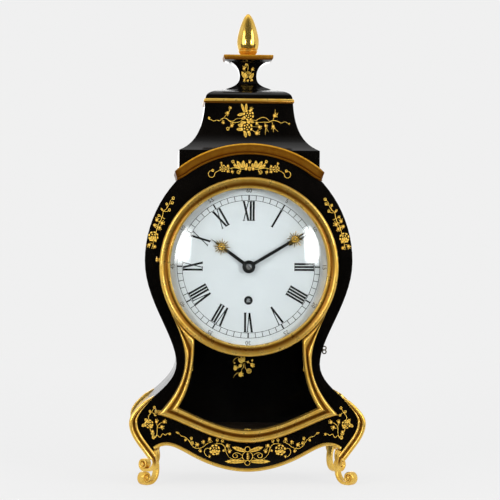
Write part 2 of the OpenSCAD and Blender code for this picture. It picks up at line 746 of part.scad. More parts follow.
module door_moulding() {
    outer = round_skirt(moulding_side, skirt_bottom);
    inner = round_skirt(moulding_inner, pane_bottom);
    n = len(outer);
    m = len(bead_profile);
    pts = [for (i = [0 : n - 1]) for (p = bead_profile)
        let (across = inner[i] - outer[i], q = outer[i] + across * p[0],
            rise = bead_h * min(1, 0.45 + norm(across) / 20))
        [q[0], leaf_front - rise * p[1], q[1]]];
    walls = [for (i = [0 : n - 2]) for (j = [0 : m - 1]) let (k = (j + 1) % m)
        each [[i * m + j, (i + 1) * m + j, (i + 1) * m + k], [i * m + j, (i + 1) * m + k, i * m + k]]];
    near = [for (j = [1 : m - 2]) [0, j, j + 1]];
    far = [for (j = [1 : m - 2]) [(n - 1) * m, (n - 1) * m + j + 1, (n - 1) * m + j]];
    color([0.78, 0.56, 0.2]) polyhedron(pts, concat(walls, near, far));
}

glass_r = 101;       // radius of the dial glass's rim
glass_flat = 97;     // radius where the glass's dome begins
dome_r = (pow(glass_flat, 2) + pow(glass_rise, 2)) / (2 * glass_rise);
glass_y = leaf_back + fit;   // front of the glass's rim

module dial_glass() {
    dome_a = asin(glass_flat / dome_r);
    outer = [for (i = [0 : 16]) let (a = dome_a * (1 - i / 16))
        [dome_r * sin(a), dome_r * cos(a) - (dome_r - glass_rise)]];
    inner_r = dome_r - glass_t;
    inner_a = asin(glass_flat / inner_r);
    inner = [for (i = [0 : 16]) let (a = inner_a * i / 16)
        [inner_r * sin(a), inner_r * cos(a) - inner_r * cos(inner_a) - glass_t]];
    color([0.85, 0.9, 0.92, 0.3]) translate([0, glass_y, dial_z]) rotate([90, 0, 0])
        rotate_extrude($fn = 128) polygon(concat([[glass_r, -glass_t], [glass_r, 0]], outer, inner));
}

ring_back = glass_y + glass_t + 1.6;
module glass_ring() {
    color([0.7, 0.5, 0.18]) difference() {
        disc(0, dial_z, dial_open_r - 1, glass_y + glass_t, ring_back, 128);
        disc(0, dial_z, ring_ri + 0.6, glass_y, ring_back + 1, 128);
    }
    color([0.7, 0.5, 0.18]) for (a = [45, 135, 225, 315])
        disc((glass_r + 1.1) * cos(a), dial_z + (glass_r + 1.1) * sin(a), 0.8,
            leaf_back, ring_back - 0.4, 24);
}

module lower_glass() {
    color([0.6, 0.65, 0.68, 0.3]) pane_solid(pane_lap, glass_y, glass_y + glass_t);
}

// Front hinge pins: bent wires driven into the board, which the door's eyes drop over
module door_hinges() {
    color([0.6, 0.55, 0.45]) for (z = hinge_zs) {
        translate([-hinge_x, hinge_y, z - pin_r]) cylinder(r = pin_r, h = pin_len + pin_r);
        disc(-hinge_x, z, pin_r, hinge_y - pin_r, front_y + 6, 32);
    }
}

// Lock: the striker on the door, the key with its blade, and the lock case on the side

lock_y = front_y + key_set;
keyhole_x = waist_w / 2;
striker_x = pane_w / 2 + pane_lap + 1;   // inner face of the striker on the door
blade_x = striker_x + 1.8;
blade_t = 1.2;
blade_len = 9.5;
blade_w = 2.2;
lip_y = lock_y + blade_w / 2 + 1.2;      // front of the striker's hook
hook_z0 = key_z + 4;
hook_z1 = key_z + 9.4;

module door_striker() {
    color([0.7, 0.5, 0.18]) {
        block(striker_x, striker_x + 1, leaf_back, lip_y + 2, hook_z0, hook_z1);
        block(striker_x, blade_x + blade_t + 0.4, lip_y, lip_y + 2, hook_z0, hook_z1);
    }
}

module lock_key() {
    end_x = keyhole_x + 4.6;
    color([0.2, 0.19, 0.15]) {
        translate([blade_x, lock_y, key_z]) rotate([0, 90, 0])
            cylinder(r = key_shaft_r, h = end_x - blade_x);
        translate([blade_x, lock_y, key_z]) rotate([0, 90, 0]) cylinder(r = 2, h = blade_t);
        block(blade_x, blade_x + blade_t, lock_y - blade_w / 2, lock_y + blade_w / 2,
            key_z - blade_len, key_z);
        for (s = [-1, 1]) translate([end_x + bow_r, lock_y, key_z + s * bow_r])
            rotate([90, 0, 0]) rotate_extrude($fn = 48) translate([bow_r, 0])
                circle(r = bow_wire_r, $fn = 24);
        translate([end_x - 0.6, lock_y, key_z]) rotate([0, 90, 0])
            cylinder(r = bow_wire_r, h = 2 * bow_r);
    }
}

// Brass case that guides the key behind the side, screwed to the back of the front board
module lock_case() {
    x1 = keyhole_x - side_t - 0.6;
    x0 = x1 - 7;
    color([0.7, 0.5, 0.18]) difference() {
        block(x0, x1, shell_y0, lock_y + 5, key_z - 8, key_z + 8);
        translate([x0 - 1, lock_y, key_z]) rotate([0, 90, 0])
            cylinder(r = key_shaft_r + run, h = 9);
    }
}

// Dial and hands

dial_y = front_y + dial_set;
mask_y = front_y + front_t;
mask_t = 2;
hub_hole_r = 5;

module dial() {
    color([0.93, 0.94, 0.95]) difference() {
        disc(0, dial_z, dial_r, dial_y, dial_y + dial_t, 128);
        disc(0, dial_z, hub_hole_r, dial_y - 1, dial_y + dial_t + 1);
        disc(0, dial_z - winding_drop, winding_hole_r, dial_y - 1, dial_y + dial_t + 1);
    }
    color([0.7, 0.4, 0.25]) for (a = [30, 150, 270])
        disc(85 * cos(a), dial_z + 85 * sin(a), 1.5, dial_y + dial_t, mask_y + mask_t + 2, 32);
}

module mask_plate() {
    color([0.75, 0.6, 0.3]) difference() {
        disc(0, dial_z, mask_r, mask_y, mask_y + mask_t, 128);
        disc(0, dial_z, hub_hole_r, mask_y - 1, mask_y + mask_t + 1);
        disc(0, dial_z - winding_drop, winding_hole_r + 0.6, mask_y - 1, mask_y + mask_t + 1);
        for (a = [30, 150, 270])
            disc(85 * cos(a), dial_z + 85 * sin(a), 1.6, mask_y - 1, mask_y + mask_t + 1, 32);
    }
}

// Star of slim rays round a small boss, standing at a distance up the hand
module star(at, r, y0, y1) {
    rays = 14;
    pts = [for (i = [0 : 2 * rays - 1]) let (a = i * 180 / rays, q = i % 2 == 0 ? r : r * 0.42)
        [q * sin(a), at + q * cos(a)]];
    slab(pts, y0, y1);
    disc(0, at, r * 0.3, y0 - 0.8, y1, 24);
}

// Everything on a hand is drawn pointing to twelve and then turned
module turned(angle) {
    translate([0, 0, dial_z]) rotate([0, angle, 0]) children();
}

pipe_r = 2.9;             // outer radius of the cannon pinion's pipe
arbor_r = 1.6;            // radius of the centre arbor inside it
hour_pipe_r = 4.2;        // outer radius of the hour wheel's pipe
hour_y = dial_y - 3.4;    // front of the hour hand
minute_y = hour_y - 3;    // front of the minute hand
hour_star_at = 42;
minute_star_at = 67;

module hand_blade(hub, bore, w0, w1, star_at, len, y0) {
    difference() {
        union() {
            disc(0, 0, hub, y0, y0 + hand_t, 64);
            slab([[-w0 / 2, hub - 2], [-w1 / 2, star_at], [-w1 / 3, star_at + 3],
                [0, len], [w1 / 3, star_at + 3], [w1 / 2, star_at], [w0 / 2, hub - 2]],
                y0, y0 + hand_t);
        }
        disc(0, 0, bore, y0 - 1, y0 + hand_t + 1, 48);
    }
}

module hour_hand() {
    color([0.03, 0.03, 0.03]) turned(hour_at)
        hand_blade(8, hour_pipe_r, 4.4, 2.6, hour_star_at, hour_len, hour_y);
}

module hour_star() {
    color([0.8, 0.58, 0.2]) turned(hour_at)
        star(hour_star_at, star_r, hour_y - 0.7, hour_y);
}

module minute_hand() {
    color([0.03, 0.03, 0.03]) turned(minute_at)
        hand_blade(6.4, pipe_r, 4.2, 2.4, minute_star_at, minute_len, minute_y);
}

module minute_star() {
    color([0.8, 0.58, 0.2]) turned(minute_at)
        star(minute_star_at, star_r * 0.95, minute_y - 0.7, minute_y);
}

nut_y = minute_y - 0.7;
module hand_nut() {
    color([0.25, 0.25, 0.27]) translate([0, 0, dial_z]) difference() {
        translate([0, nut_y, 0]) rotate([90, 0, 0]) rotate_extrude($fn = 64)
            polygon(concat([[0, -0.6], [4, -0.6]], arc(0, 0, 4, 0, 90, 10), [[0, 4]]));
        disc(0, 0, pipe_r, nut_y - 1, nut_y + 1, 48);
    }
}

// Movement. Each arbor's place is [x, z].

plate1_y = mask_y + mask_t + front_gap;          // front of the front plate
inside_y = plate1_y + plate_t;                   // back of the front plate
plate2_y = inside_y + plate_gap;                 // front of the back plate

// Teeth and modules of the going train, from the barrel to the escape wheel
great_n = 78;
second_pinion_n = 12;
second_n = 60;
centre_pinion_n = 12;
centre_n = 80;
third_pinion_n = 10;
third_n = 75;
fourth_pinion_n = 10;
fourth_n = 64;
escape_pinion_n = 8;
m_great = 0.8;
m_second = 0.6;
m_centre = 0.46;
m_third = 0.42;
m_fourth = 0.4;

function reach(m, a, b) = m * (a + b) / 2;
function polar(r, a) = [r * cos(a), r * sin(a)];

centre_at = [0, dial_z];
barrel_at = [0, dial_z - winding_drop];
d_barrel = reach(m_great, great_n, second_pinion_n);
d_second = reach(m_second, second_n, centre_pinion_n);
second_up = (pow(d_barrel, 2) - pow(d_second, 2) + pow(winding_drop, 2)) / (2 * winding_drop);
second_at = barrel_at + [sqrt(pow(d_barrel, 2) - pow(second_up, 2)), second_up];
third_at = centre_at + polar(reach(m_centre, centre_n, third_pinion_n), 150);
fourth_at = third_at + polar(reach(m_third, third_n, fourth_pinion_n), 45);
escape_at = fourth_at + polar(reach(m_fourth, fourth_n, escape_pinion_n), 58);
lever_at = escape_at + [9, 0];
balance_at = lever_at + [11, 0];

// Angle at which a wheel must stand so that it meshes with the one it meets at angle toward
function mesh_turn(n, toward) = toward + 180 / n;

function tooth(n, m, k, turn, share, add) =
    let (r = m * n / 2, a = turn + k * 360 / n, w = 360 / n * share / 2,
        root = r - 1.3 * m, tip = r + add * m)
    [polar(root, a - w * 1.25), polar(r - 0.1 * m, a - w), polar(r + 0.55 * add * m, a - w * 0.66),
        polar(tip, a - w * 0.25), polar(tip, a + w * 0.25), polar(r + 0.55 * add * m, a + w * 0.66),
        polar(r - 0.1 * m, a + w), polar(root, a + w * 1.25)];

// Toothed disc about a place, with a bore if it isn't 0
module toothed(at, n, m, turn, y0, y1, share, add) {
    translate([at[0], 0, at[1]])
        slab([for (k = [0 : n - 1]) each tooth(n, m, k, turn, share, add)], y0, y1);
}

module wheel(at, n, m, turn, y0, arms, hub) {
    r = m * n / 2 - 1.3 * m - 2;
    y1 = y0 + wheel_t;
    difference() {
        toothed(at, n, m, turn, y0, y1, tooth_share, 0.85);
        disc(at[0], at[1], r, y0 - 1, y1 + 1, 64);
    }
    disc(at[0], at[1], hub, y0, y1, 32);
    translate([at[0], 0, at[1]]) for (k = [0 : arms - 1]) rotate([0, k * 360 / arms, 0])
        block(-1, 1, y0, y1, hub - 0.5, r + 0.5);
}

module pinion(at, n, m, turn, y0, y1) {
    toothed(at, n, m, turn, y0, y1, tooth_share * 0.86, 0.7);
}

module arbor(at, r, y0, y1) {
    disc(at[0], at[1], r, y0, y1, 32);
}

pivot_r = 0.8;
// Arbor with a shoulder inside each plate and thin pivots through them
module pivoted(at, r) {
    arbor(at, r, inside_y + 0.4, plate2_y - 0.4);
    arbor(at, pivot_r, plate1_y, plate2_y + plate_t);
}

// Where each wheel lies between the plates, from the front plate back
centre_wheel_y = inside_y + 0.9;
third_wheel_y = inside_y + 13.4;
fourth_wheel_y = plate2_y - 4.6;
second_wheel_y = plate2_y - 4.2;
great_y = plate2_y - 8;
escape_y = plate2_y - 11.6;

// Rest angles. A pinion's tooth lies on the line of centres and the wheel's gap meets it.
a_bs = atan2(second_at[1] - barrel_at[1], second_at[0] - barrel_at[0]);
a_sc = atan2(centre_at[1] - second_at[1], centre_at[0] - second_at[0]);

train_steel = [0.55, 0.55, 0.58];
train_brass = [0.78, 0.62, 0.3];

module barrel() {
    drum_y0 = inside_y + 3.6;
    color(train_brass) difference() {
        union() {
            toothed(barrel_at, great_n, m_great, mesh_turn(great_n, a_bs), great_y, great_y + 2,
                tooth_share, 0.85);
            disc(barrel_at[0], barrel_at[1], drum_r, drum_y0, great_y + eps, 96);
        }
        disc(barrel_at[0], barrel_at[1], drum_r - 1.5, drum_y0 + 1.5, great_y - eps, 96);
        disc(barrel_at[0], barrel_at[1], 3 + run, drum_y0 - 1, great_y + 3, 48);
    }
}

spring_turns = 12;
spring_t = 0.5;
module mainspring() {
    r0 = 3.3;
    r1 = drum_r - 1.5 - fit - spring_t;
    n = spring_turns * 14;
    function coil(off) = [for (i = [0 : n]) polar(r0 + (r1 - r0) * i / n + off,
        i * 360 * spring_turns / n)];
    outer = coil(spring_t);
    inner = coil(0);
    color([0.35, 0.37, 0.42]) translate([barrel_at[0], 0, barrel_at[1]])
        slab(concat(outer, [for (i = [n : -1 : 0]) inner[i]]), inside_y + 6, great_y - 1);
}

square_w = 4.6;
ratchet_n = 24;
ratchet_r = 11;
module winding_arbor() {
    y_r = plate1_y - 2.6;
    ratchet = [for (k = [0 : ratchet_n - 1]) each [polar(ratchet_r, k * 15), polar(ratchet_r - 1.6,
        k * 15 + 1.5)]];
    color(train_steel) {
        arbor(barrel_at, 3, plate1_y - 2.6, plate2_y - 0.4);
        arbor(barrel_at, 2, plate2_y - 1, plate2_y + plate_t);
        translate([barrel_at[0], 0, barrel_at[1]]) slab(ratchet, y_r, y_r + 2);
        block(-square_w / 2, square_w / 2, dial_y + 0.8, plate1_y - 2,
            barrel_at[1] - square_w / 2, barrel_at[1] + square_w / 2);
    }
}

click_at = barrel_at + [-15.5, 8.5];
module click() {
    y_c = plate1_y - 2.4;
    nose = barrel_at + polar(ratchet_r + 0.45, 176);
    color(train_steel) {
        difference() {
            union() {
                disc(click_at[0], click_at[1], 2.6, y_c, y_c + 1.8, 32);
                slab([click_at + [-2.2, -1], nose + [-2.4, 0.4], nose + [0, 0.2], nose + [0.1, 1.4],
                    click_at + [2.2, -1]], y_c, y_c + 1.8);
            }
            disc(click_at[0], click_at[1], 1 + run, y_c - 1, y_c + 3, 32);
        }
    }
}

module second_wheel() {
    color(train_brass) {
        pivoted(second_at, 1.8);
        pinion(second_at, second_pinion_n, m_great, a_bs + 180, great_y - 1, great_y + 3);
        wheel(second_at, second_n, m_second, mesh_turn(second_n, a_sc), second_wheel_y, 5, 3.4);
    }
}

module centre_wheel() {
    color(train_brass) {
        arbor(centre_at, 1.9, inside_y + 0.4, plate2_y - 0.4);
        arbor(centre_at, arbor_r, nut_y + 1, inside_y + 1);
        arbor(centre_at, 1.2, plate2_y - 1, plate2_y + plate_t);
        pinion(centre_at, centre_pinion_n, m_second, a_sc + 180, second_wheel_y - 1,
            second_wheel_y + wheel_t + 1);
        wheel(centre_at, centre_n, m_centre, mesh_turn(centre_n, 150), centre_wheel_y, 5, 4);
    }
}

module third_wheel() {
    color(train_brass) {
        pivoted(third_at, 1.4);
        pinion(third_at, third_pinion_n, m_centre, 150 + 180, centre_wheel_y - 0.3,
            centre_wheel_y + wheel_t + 1);
        wheel(third_at, third_n, m_third, mesh_turn(third_n, 45), third_wheel_y, 4, 3);
    }
}

module fourth_wheel() {
    color(train_brass) {
        pivoted(fourth_at, 1.2);
        pinion(fourth_at, fourth_pinion_n, m_third, 45 + 180, third_wheel_y - 1,
            third_wheel_y + wheel_t + 1);
        wheel(fourth_at, fourth_n, m_fourth, mesh_turn(fourth_n, 58), fourth_wheel_y, 4, 2.6);
    }
}

escape_n = 15;
escape_r = 5.6;
bridge_y = escape_y - 5;
bridge_t = 1.6;
module escape_wheel() {
    pts = [for (k = [0 : escape_n - 1]) each [polar(escape_r, k * 24), polar(escape_r, k * 24 + 3),
        polar(escape_r - 1.8, k * 24 + 7), polar(escape_r - 1.8, k * 24 + 18)]];
    color(train_brass) {
        arbor(escape_at, 0.9, bridge_y + bridge_t + 0.3, plate2_y - 0.4);
        arbor(escape_at, 0.5, bridge_y, plate2_y + plate_t);
        translate([escape_at[0], 0, escape_at[1]]) slab(pts, escape_y, escape_y + 0.8);
        pinion(escape_at, escape_pinion_n, m_fourth, 58 + 180, fourth_wheel_y - 0.8,
            fourth_wheel_y + wheel_t + 0.8);
    }
}

// Lever: two pallets held just clear of the wheel, and a fork toward the balance
pallet_a = 38;   // angle of each pallet from the line to the lever, seen from the escape arbor
pallet_r = escape_r + 0.5;
module lever() {
    p1 = escape_at + polar(pallet_r, pallet_a) - lever_at;
    p2 = escape_at + polar(pallet_r, -pallet_a) - lever_at;
    color(train_steel) {
        arbor(lever_at, 0.6, bridge_y + bridge_t + 0.3, plate2_y - 0.4);
        arbor(lever_at, 0.4, bridge_y, plate2_y + plate_t);
        translate([lever_at[0], 0, lever_at[1]]) {
            slab([p1, p1 + [0.4, 1.1], [0.9, 1.1], [0.9, -1.1], p2 + [0.4, -1.1], p2,
                p2 + [1.1, 0.5], [-1.0, 0], p1 + [1.1, -0.5]], escape_y - 0.1, escape_y + 0.9);
            slab([[0, -0.6], [0, 0.6], [6.4, 0.4], [8, 1.6], [8.3, 1.2], [7.4, 0.5], [7.4, -0.5],
                [8.3, -1.2], [8, -1.6], [6.4, -0.4]], escape_y - 0.1, escape_y + 0.9);
        }
    }
}

balance_y = escape_y + 2.6;
module balance() {
    color(train_brass) {
        arbor(balance_at, 0.7, bridge_y + bridge_t + 0.3, plate2_y - 0.4);
        arbor(balance_at, 0.4, bridge_y, plate2_y + plate_t);
        difference() {
            disc(balance_at[0], balance_at[1], balance_r, balance_y, balance_y + 1.4, 64);
            disc(balance_at[0], balance_at[1], balance_r - 1.2, balance_y - 1, balance_y + 2, 64);
        }
        block(balance_at[0] - 0.7, balance_at[0] + 0.7, balance_y, balance_y + 1.4,
            balance_at[1] - balance_r + 1, balance_at[1] + balance_r - 1);
        disc(balance_at[0], balance_at[1], 2, balance_y - 0.9, balance_y - 0.2, 32);
    }
}

module hairspring() {
    turns = 6;
    n = turns * 16;
    y0 = plate2_y - 3.2;
    function coil(off) = [for (i = [0 : n]) polar(1 + 4.6 * i / n + off, i * 360 * turns / n)];
    outer = coil(0.16);
    inner = coil(0);
    color([0.3, 0.35, 0.55]) {
        translate([balance_at[0], 0, balance_at[1]])
            slab(concat(outer, [for (i = [n : -1 : 0]) inner[i]]), y0, y0 + 0.6);
        block(balance_at[0] + 5.4, balance_at[0] + 6.6, y0 - 0.2, plate2_y,
            balance_at[1] - 0.6, balance_at[1] + 0.6);
    }
}

bridge_posts = [escape_at + [-3, 8], escape_at + [10, 9.5], escape_at + [8, -11]];
module escapement_bridge() {
    color(train_brass) {
        difference() {
            slab([escape_at + [-6, -3], escape_at + [-6, 11], escape_at + [13, 12.5],
                escape_at + [23, 3], escape_at + [23, -3], escape_at + [12, -14],
                escape_at + [5, -14], escape_at + [3, -3]], bridge_y, bridge_y + bridge_t);
            disc(escape_at[0], escape_at[1], 0.5 + run, bridge_y - 1, bridge_y + 3, 24);
            disc(lever_at[0], lever_at[1], 0.4 + run, bridge_y - 1, bridge_y + 3, 24);
            disc(balance_at[0], balance_at[1], 0.4 + run, bridge_y - 1, bridge_y + 3, 24);
        }
        for (p = bridge_posts) arbor(p, 1.3, bridge_y + 0.2, plate2_y);
    }
}

// Motion work under the dial

cannon_n = 14;
minute_n = 42;
minute_pinion_n = 12;
hour_n = 48;
m_cannon = 0.6;
motion_d = reach(m_cannon, cannon_n, minute_n);
m_hour = 2 * motion_d / (minute_pinion_n + hour_n);
motion_a = 20;
motion_at = centre_at + polar(motion_d, motion_a);
cannon_y = plate1_y - 3.2;
hour_wheel_y = plate1_y - 6.4;

module cannon_pinion() {
    color(train_steel) difference() {
        union() {
            arbor(centre_at, pipe_r, nut_y, plate1_y - 0.4);
            pinion(centre_at, cannon_n, m_cannon, motion_a, cannon_y - 0.4, cannon_y + 2);
        }
        arbor(centre_at, arbor_r + run, nut_y - 1, plate1_y + 1);
    }
}

module minute_wheel() {
    color(train_brass) difference() {
        union() {
            arbor(motion_at, 2.6, hour_wheel_y - 0.6, plate1_y - 0.5);
            wheel(motion_at, minute_n, m_cannon, mesh_turn(minute_n, motion_a + 180), cannon_y,
                4, 3.2);
            pinion(motion_at, minute_pinion_n, m_hour, motion_a + 180, hour_wheel_y - 0.6,
                cannon_y + 0.2);
        }
        arbor(motion_at, 1 + run, hour_wheel_y - 2, plate1_y + 1);
    }
}

module hour_wheel() {
    color(train_brass) difference() {
        union() {
            wheel(centre_at, hour_n, m_hour, mesh_turn(hour_n, motion_a), hour_wheel_y, 5, 6);
            arbor(centre_at, hour_pipe_r, hour_y, hour_wheel_y + wheel_t);
        }
        arbor(centre_at, pipe_r + run, hour_y - 1, hour_wheel_y + 4);
    }
}

// Plates

plate_low = barrel_at[1] - plate_under;
plate_high = dial_z + plate_over;
pillar_x = plate_w / 2 - 6;
pillar_places = [for (x = [-pillar_x, pillar_x], z = [plate_low + 6, plate_high - 6]) [x, z]];

module front_plate() {
    color(train_brass) difference() {
        block(-plate_w / 2, plate_w / 2, plate1_y, inside_y, plate_low, plate_high);
        disc(barrel_at[0], barrel_at[1], 3 + run, plate1_y - 1, inside_y + 1, 48);
        for (p = [second_at, third_at, fourth_at])
            disc(p[0], p[1], pivot_r + run, plate1_y - 1, inside_y + 1, 24);
        disc(centre_at[0], centre_at[1], arbor_r + run, plate1_y - 1, inside_y + 1, 32);
    }
    // studs that the minute wheel and the click turn on
    color(train_steel) {
        arbor(motion_at, 1, hour_wheel_y - 0.6, plate1_y);
        arbor(click_at, 1, plate1_y - 3, plate1_y);
    }
}

module back_plate() {
    y1 = plate2_y + plate_t;
    color(train_brass) difference() {
        block(-plate_w / 2, plate_w / 2, plate2_y, y1, plate_low, plate_high);
        disc(barrel_at[0], barrel_at[1], 2 + run, plate2_y - 1, y1 + 1, 48);
        for (p = [second_at, third_at, fourth_at])
            disc(p[0], p[1], pivot_r + run, plate2_y - 1, y1 + 1, 24);
        disc(centre_at[0], centre_at[1], 1.2 + run, plate2_y - 1, y1 + 1, 32);
        disc(escape_at[0], escape_at[1], 0.5 + run, plate2_y - 1, y1 + 1, 24);
        for (p = [lever_at, balance_at]) disc(p[0], p[1], 0.4 + run, plate2_y - 1, y1 + 1, 24);
    }
}

module pillars() {
    color(train_brass) for (p = pillar_places) {
        arbor(p, pillar_r, inside_y, plate2_y);
        arbor(p, pillar_r - 0.5, mask_y + mask_t, plate1_y);
    }
}

module plate_nuts() {
    y0 = plate2_y + plate_t;
    color(train_steel) for (p = pillar_places)
        translate([p[0], y0 + 2.4, p[1]]) rotate([90, 0, 0]) cylinder(r = 3.6, h = 2.4, $fn = 6);
}

front_board();
left_side();
right_side();
arch_board();
bottom_board();
back_frame();
back_door();
back_hinges();
back_hinge_leaves();
back_catch();
cornice();
hat_body();
hat_band();
hat_shoulder();
hat_neck();
cap_plate();
finial();
finial_rod();
foot_front_left();
foot_front_right();
foot_back_left();
foot_back_right();
apron_strip();
door_leaf();
dial_bezel();
door_moulding();
dial_glass();
glass_ring();
lower_glass();
door_hinges();
door_striker();
lock_key();
lock_case();
dial();
mask_plate();
hour_hand();
hour_star();
minute_hand();
minute_star();
hand_nut();
front_plate();
back_plate();
pillars();
plate_nuts();
barrel();
mainspring();
winding_arbor();
click();
second_wheel();
centre_wheel();
third_wheel();
fourth_wheel();
escape_wheel();
lever();
balance();
hairspring();
escapement_bridge();
cannon_pinion();
minute_wheel();
hour_wheel();
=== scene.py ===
import json
from math import asin, atan2, cos, exp, hypot, pi, radians, sin, sqrt

import bpy
import numpy as np
from mathutils import Matrix, Vector

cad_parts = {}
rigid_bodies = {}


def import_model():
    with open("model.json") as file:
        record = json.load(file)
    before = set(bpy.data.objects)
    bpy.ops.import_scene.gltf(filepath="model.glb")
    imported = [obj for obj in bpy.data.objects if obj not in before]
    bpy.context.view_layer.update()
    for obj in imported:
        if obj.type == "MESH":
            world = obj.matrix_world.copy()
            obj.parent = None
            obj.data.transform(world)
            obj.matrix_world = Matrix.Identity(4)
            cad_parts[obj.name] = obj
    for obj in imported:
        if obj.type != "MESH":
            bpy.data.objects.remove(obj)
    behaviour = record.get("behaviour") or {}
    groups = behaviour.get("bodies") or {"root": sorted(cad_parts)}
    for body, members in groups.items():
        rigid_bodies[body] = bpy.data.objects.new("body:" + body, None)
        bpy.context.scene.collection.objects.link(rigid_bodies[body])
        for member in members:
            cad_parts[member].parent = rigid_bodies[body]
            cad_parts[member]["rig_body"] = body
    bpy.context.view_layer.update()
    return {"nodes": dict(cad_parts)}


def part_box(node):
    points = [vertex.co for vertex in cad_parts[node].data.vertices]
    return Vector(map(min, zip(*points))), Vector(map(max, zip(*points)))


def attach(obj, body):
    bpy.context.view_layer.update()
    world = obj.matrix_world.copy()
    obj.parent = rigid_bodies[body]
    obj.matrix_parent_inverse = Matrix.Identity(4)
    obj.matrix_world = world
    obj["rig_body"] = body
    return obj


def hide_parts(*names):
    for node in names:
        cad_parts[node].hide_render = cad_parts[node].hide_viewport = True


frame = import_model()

nodes = frame["nodes"]
mm = 0.001

# ---- Boards of the case ----
# Six softwood boards: a sawn front, two bent sides, a bent arch, a bottom and a frame
# at the back. They are glued together, ground, and lacquered in gloss black.


def pick(*pieces):
    """Selects these pieces and nothing else."""
    bpy.ops.object.select_all(action="DESELECT")
    for piece in pieces:
        piece.select_set(True)
    bpy.context.view_layer.objects.active = pieces[0]


def added(name, primitive, **sizes):
    """Adds one primitive with nothing else selected, and names it."""
    bpy.ops.object.select_all(action="DESELECT")
    primitive(**sizes)
    piece = bpy.context.object
    piece.name = piece.data.name = name
    return piece


def edited(*steps):
    """Takes steps in edit mode, each with the active piece's whole mesh selected."""
    bpy.ops.object.mode_set(mode="EDIT")
    for step in steps:
        bpy.ops.mesh.select_all(action="SELECT")
        step()
    bpy.ops.object.mode_set(mode="OBJECT")


def face_outward():
    bpy.ops.mesh.normals_make_consistent(inside=False)


def apply_modifiers(piece):
    pick(piece)
    for modifier in list(piece.modifiers):
        bpy.ops.object.modifier_apply(modifier=modifier.name)


def give(piece, material):
    piece.data.materials.clear()
    piece.data.materials.append(material)


def fit_up(piece, node, material):
    """The piece rides with a CAD node's body and stands in for the node, which is hidden."""
    give(piece, material)
    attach(piece, nodes[node]["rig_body"])
    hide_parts(node)
    return piece


def soften(piece, angle):
    """Shades a piece smooth below an angle, and keeps its flat faces flat."""
    pick(piece)
    bpy.ops.object.shade_smooth_by_angle(angle=radians(angle))
    flats = piece.modifiers.new("true flats", "WEIGHTED_NORMAL")
    flats.keep_sharp = True
    apply_modifiers(piece)


def worked(node, suffix, edge=0.3, smooth=32, clean=True):
    """A copy of a CAD node with its flat faces cleaned up and its edges eased."""
    piece = bpy.data.objects.new(node + suffix, nodes[node].data.copy())
    bpy.context.scene.collection.objects.link(piece)
    pick(piece)
    if piece.data.has_custom_normals:
        bpy.ops.mesh.customdata_custom_splitnormals_clear()

    def clean_up():
        bpy.ops.mesh.remove_doubles(threshold=0.004 * mm)
        if clean:
            bpy.ops.mesh.dissolve_limited(angle_limit=radians(0.6))

    edited(clean_up)
    if edge:
        bevel = piece.modifiers.new("eased edges", "BEVEL")
        bevel.width = edge * mm
        bevel.segments = 2
        bevel.limit_method = "ANGLE"
        bevel.angle_limit = radians(38)
        bevel.use_clamp_overlap = True
        apply_modifiers(piece)
    soften(piece, smooth)
    return piece


def dress(names, suffix, material, *edge_and_smooth, clean=True):
    """Works some CAD nodes and fits them all up in one material."""
    for node in names.split():
        fit_up(worked(node, suffix, *edge_and_smooth, clean=clean), node, material)


def join(tree, value, socket):
    """Links an output to an input, or sets the input to a number or a colour."""
    if isinstance(value, bpy.types.NodeSocket):
        tree.links.new(value, socket)
    else:
        socket.default_value = (*value, 1) if socket.type == "RGBA" else value


def shading(tree, kind, **inputs):
    """A shader node of a kind, with what its inputs get."""
    node = tree.nodes.new("ShaderNode" + kind)
    for name, value in inputs.items():
        join(tree, value, node.inputs[name.replace("_", " ")])
    return node


def noise(tree, scale, detail=3.0, rough=0.55, stretch=(1, 1, 1)):
    """Noise on Object coordinates, in lumps per metre."""
    place = shading(tree, "Mapping", Vector=shading(tree, "TexCoord").outputs["Object"], Scale=stretch)
    grain = shading(tree, "TexNoise", Vector=place.outputs["Vector"], Scale=scale, Detail=detail, Roughness=rough)
    return grain.outputs["Fac"]


def ranged(tree, value, low, high, out_low=0.0, out_high=1.0):
    """Spreads a value over a range, and cuts it off at both ends."""
    spread = shading(tree, "MapRange", Value=value, From_Min=low, From_Max=high, To_Min=out_low, To_Max=out_high)
    return spread.outputs["Result"]


def blended(tree, amount, first, second):
    mix = shading(tree, "Mix")
    mix.data_type = "RGBA"
    join(tree, amount, mix.inputs["Factor"])
    for colour, socket in zip((first, second), [s for s in mix.inputs if s.type == "RGBA"]):
        join(tree, colour, socket)
    return [s for s in mix.outputs if s.type == "RGBA"][0]


def maths(tree, kind, first, second):
    node = shading(tree, "Math")
    node.operation = kind
    for value, socket in zip((first, second), node.inputs):
        join(tree, value, socket)
    return node.outputs[0]


def new_finish(name, **values):
    """A material with a Principled shader that has these plain values."""
    material = bpy.data.materials.new(name)
    material.use_nodes = True
    tree = material.node_tree
    shader = tree.nodes["Principled BSDF"]
    for key, value in values.items():
        join(tree, value, shader.inputs[key.replace("_", " ")])
    return material, tree, shader


def bumped(tree, shader, height, strength, distance):
    bump = shading(tree, "Bump", Height=height, Strength=strength, Distance=distance)
    join(tree, bump.outputs["Normal"], shader.inputs["Normal"])


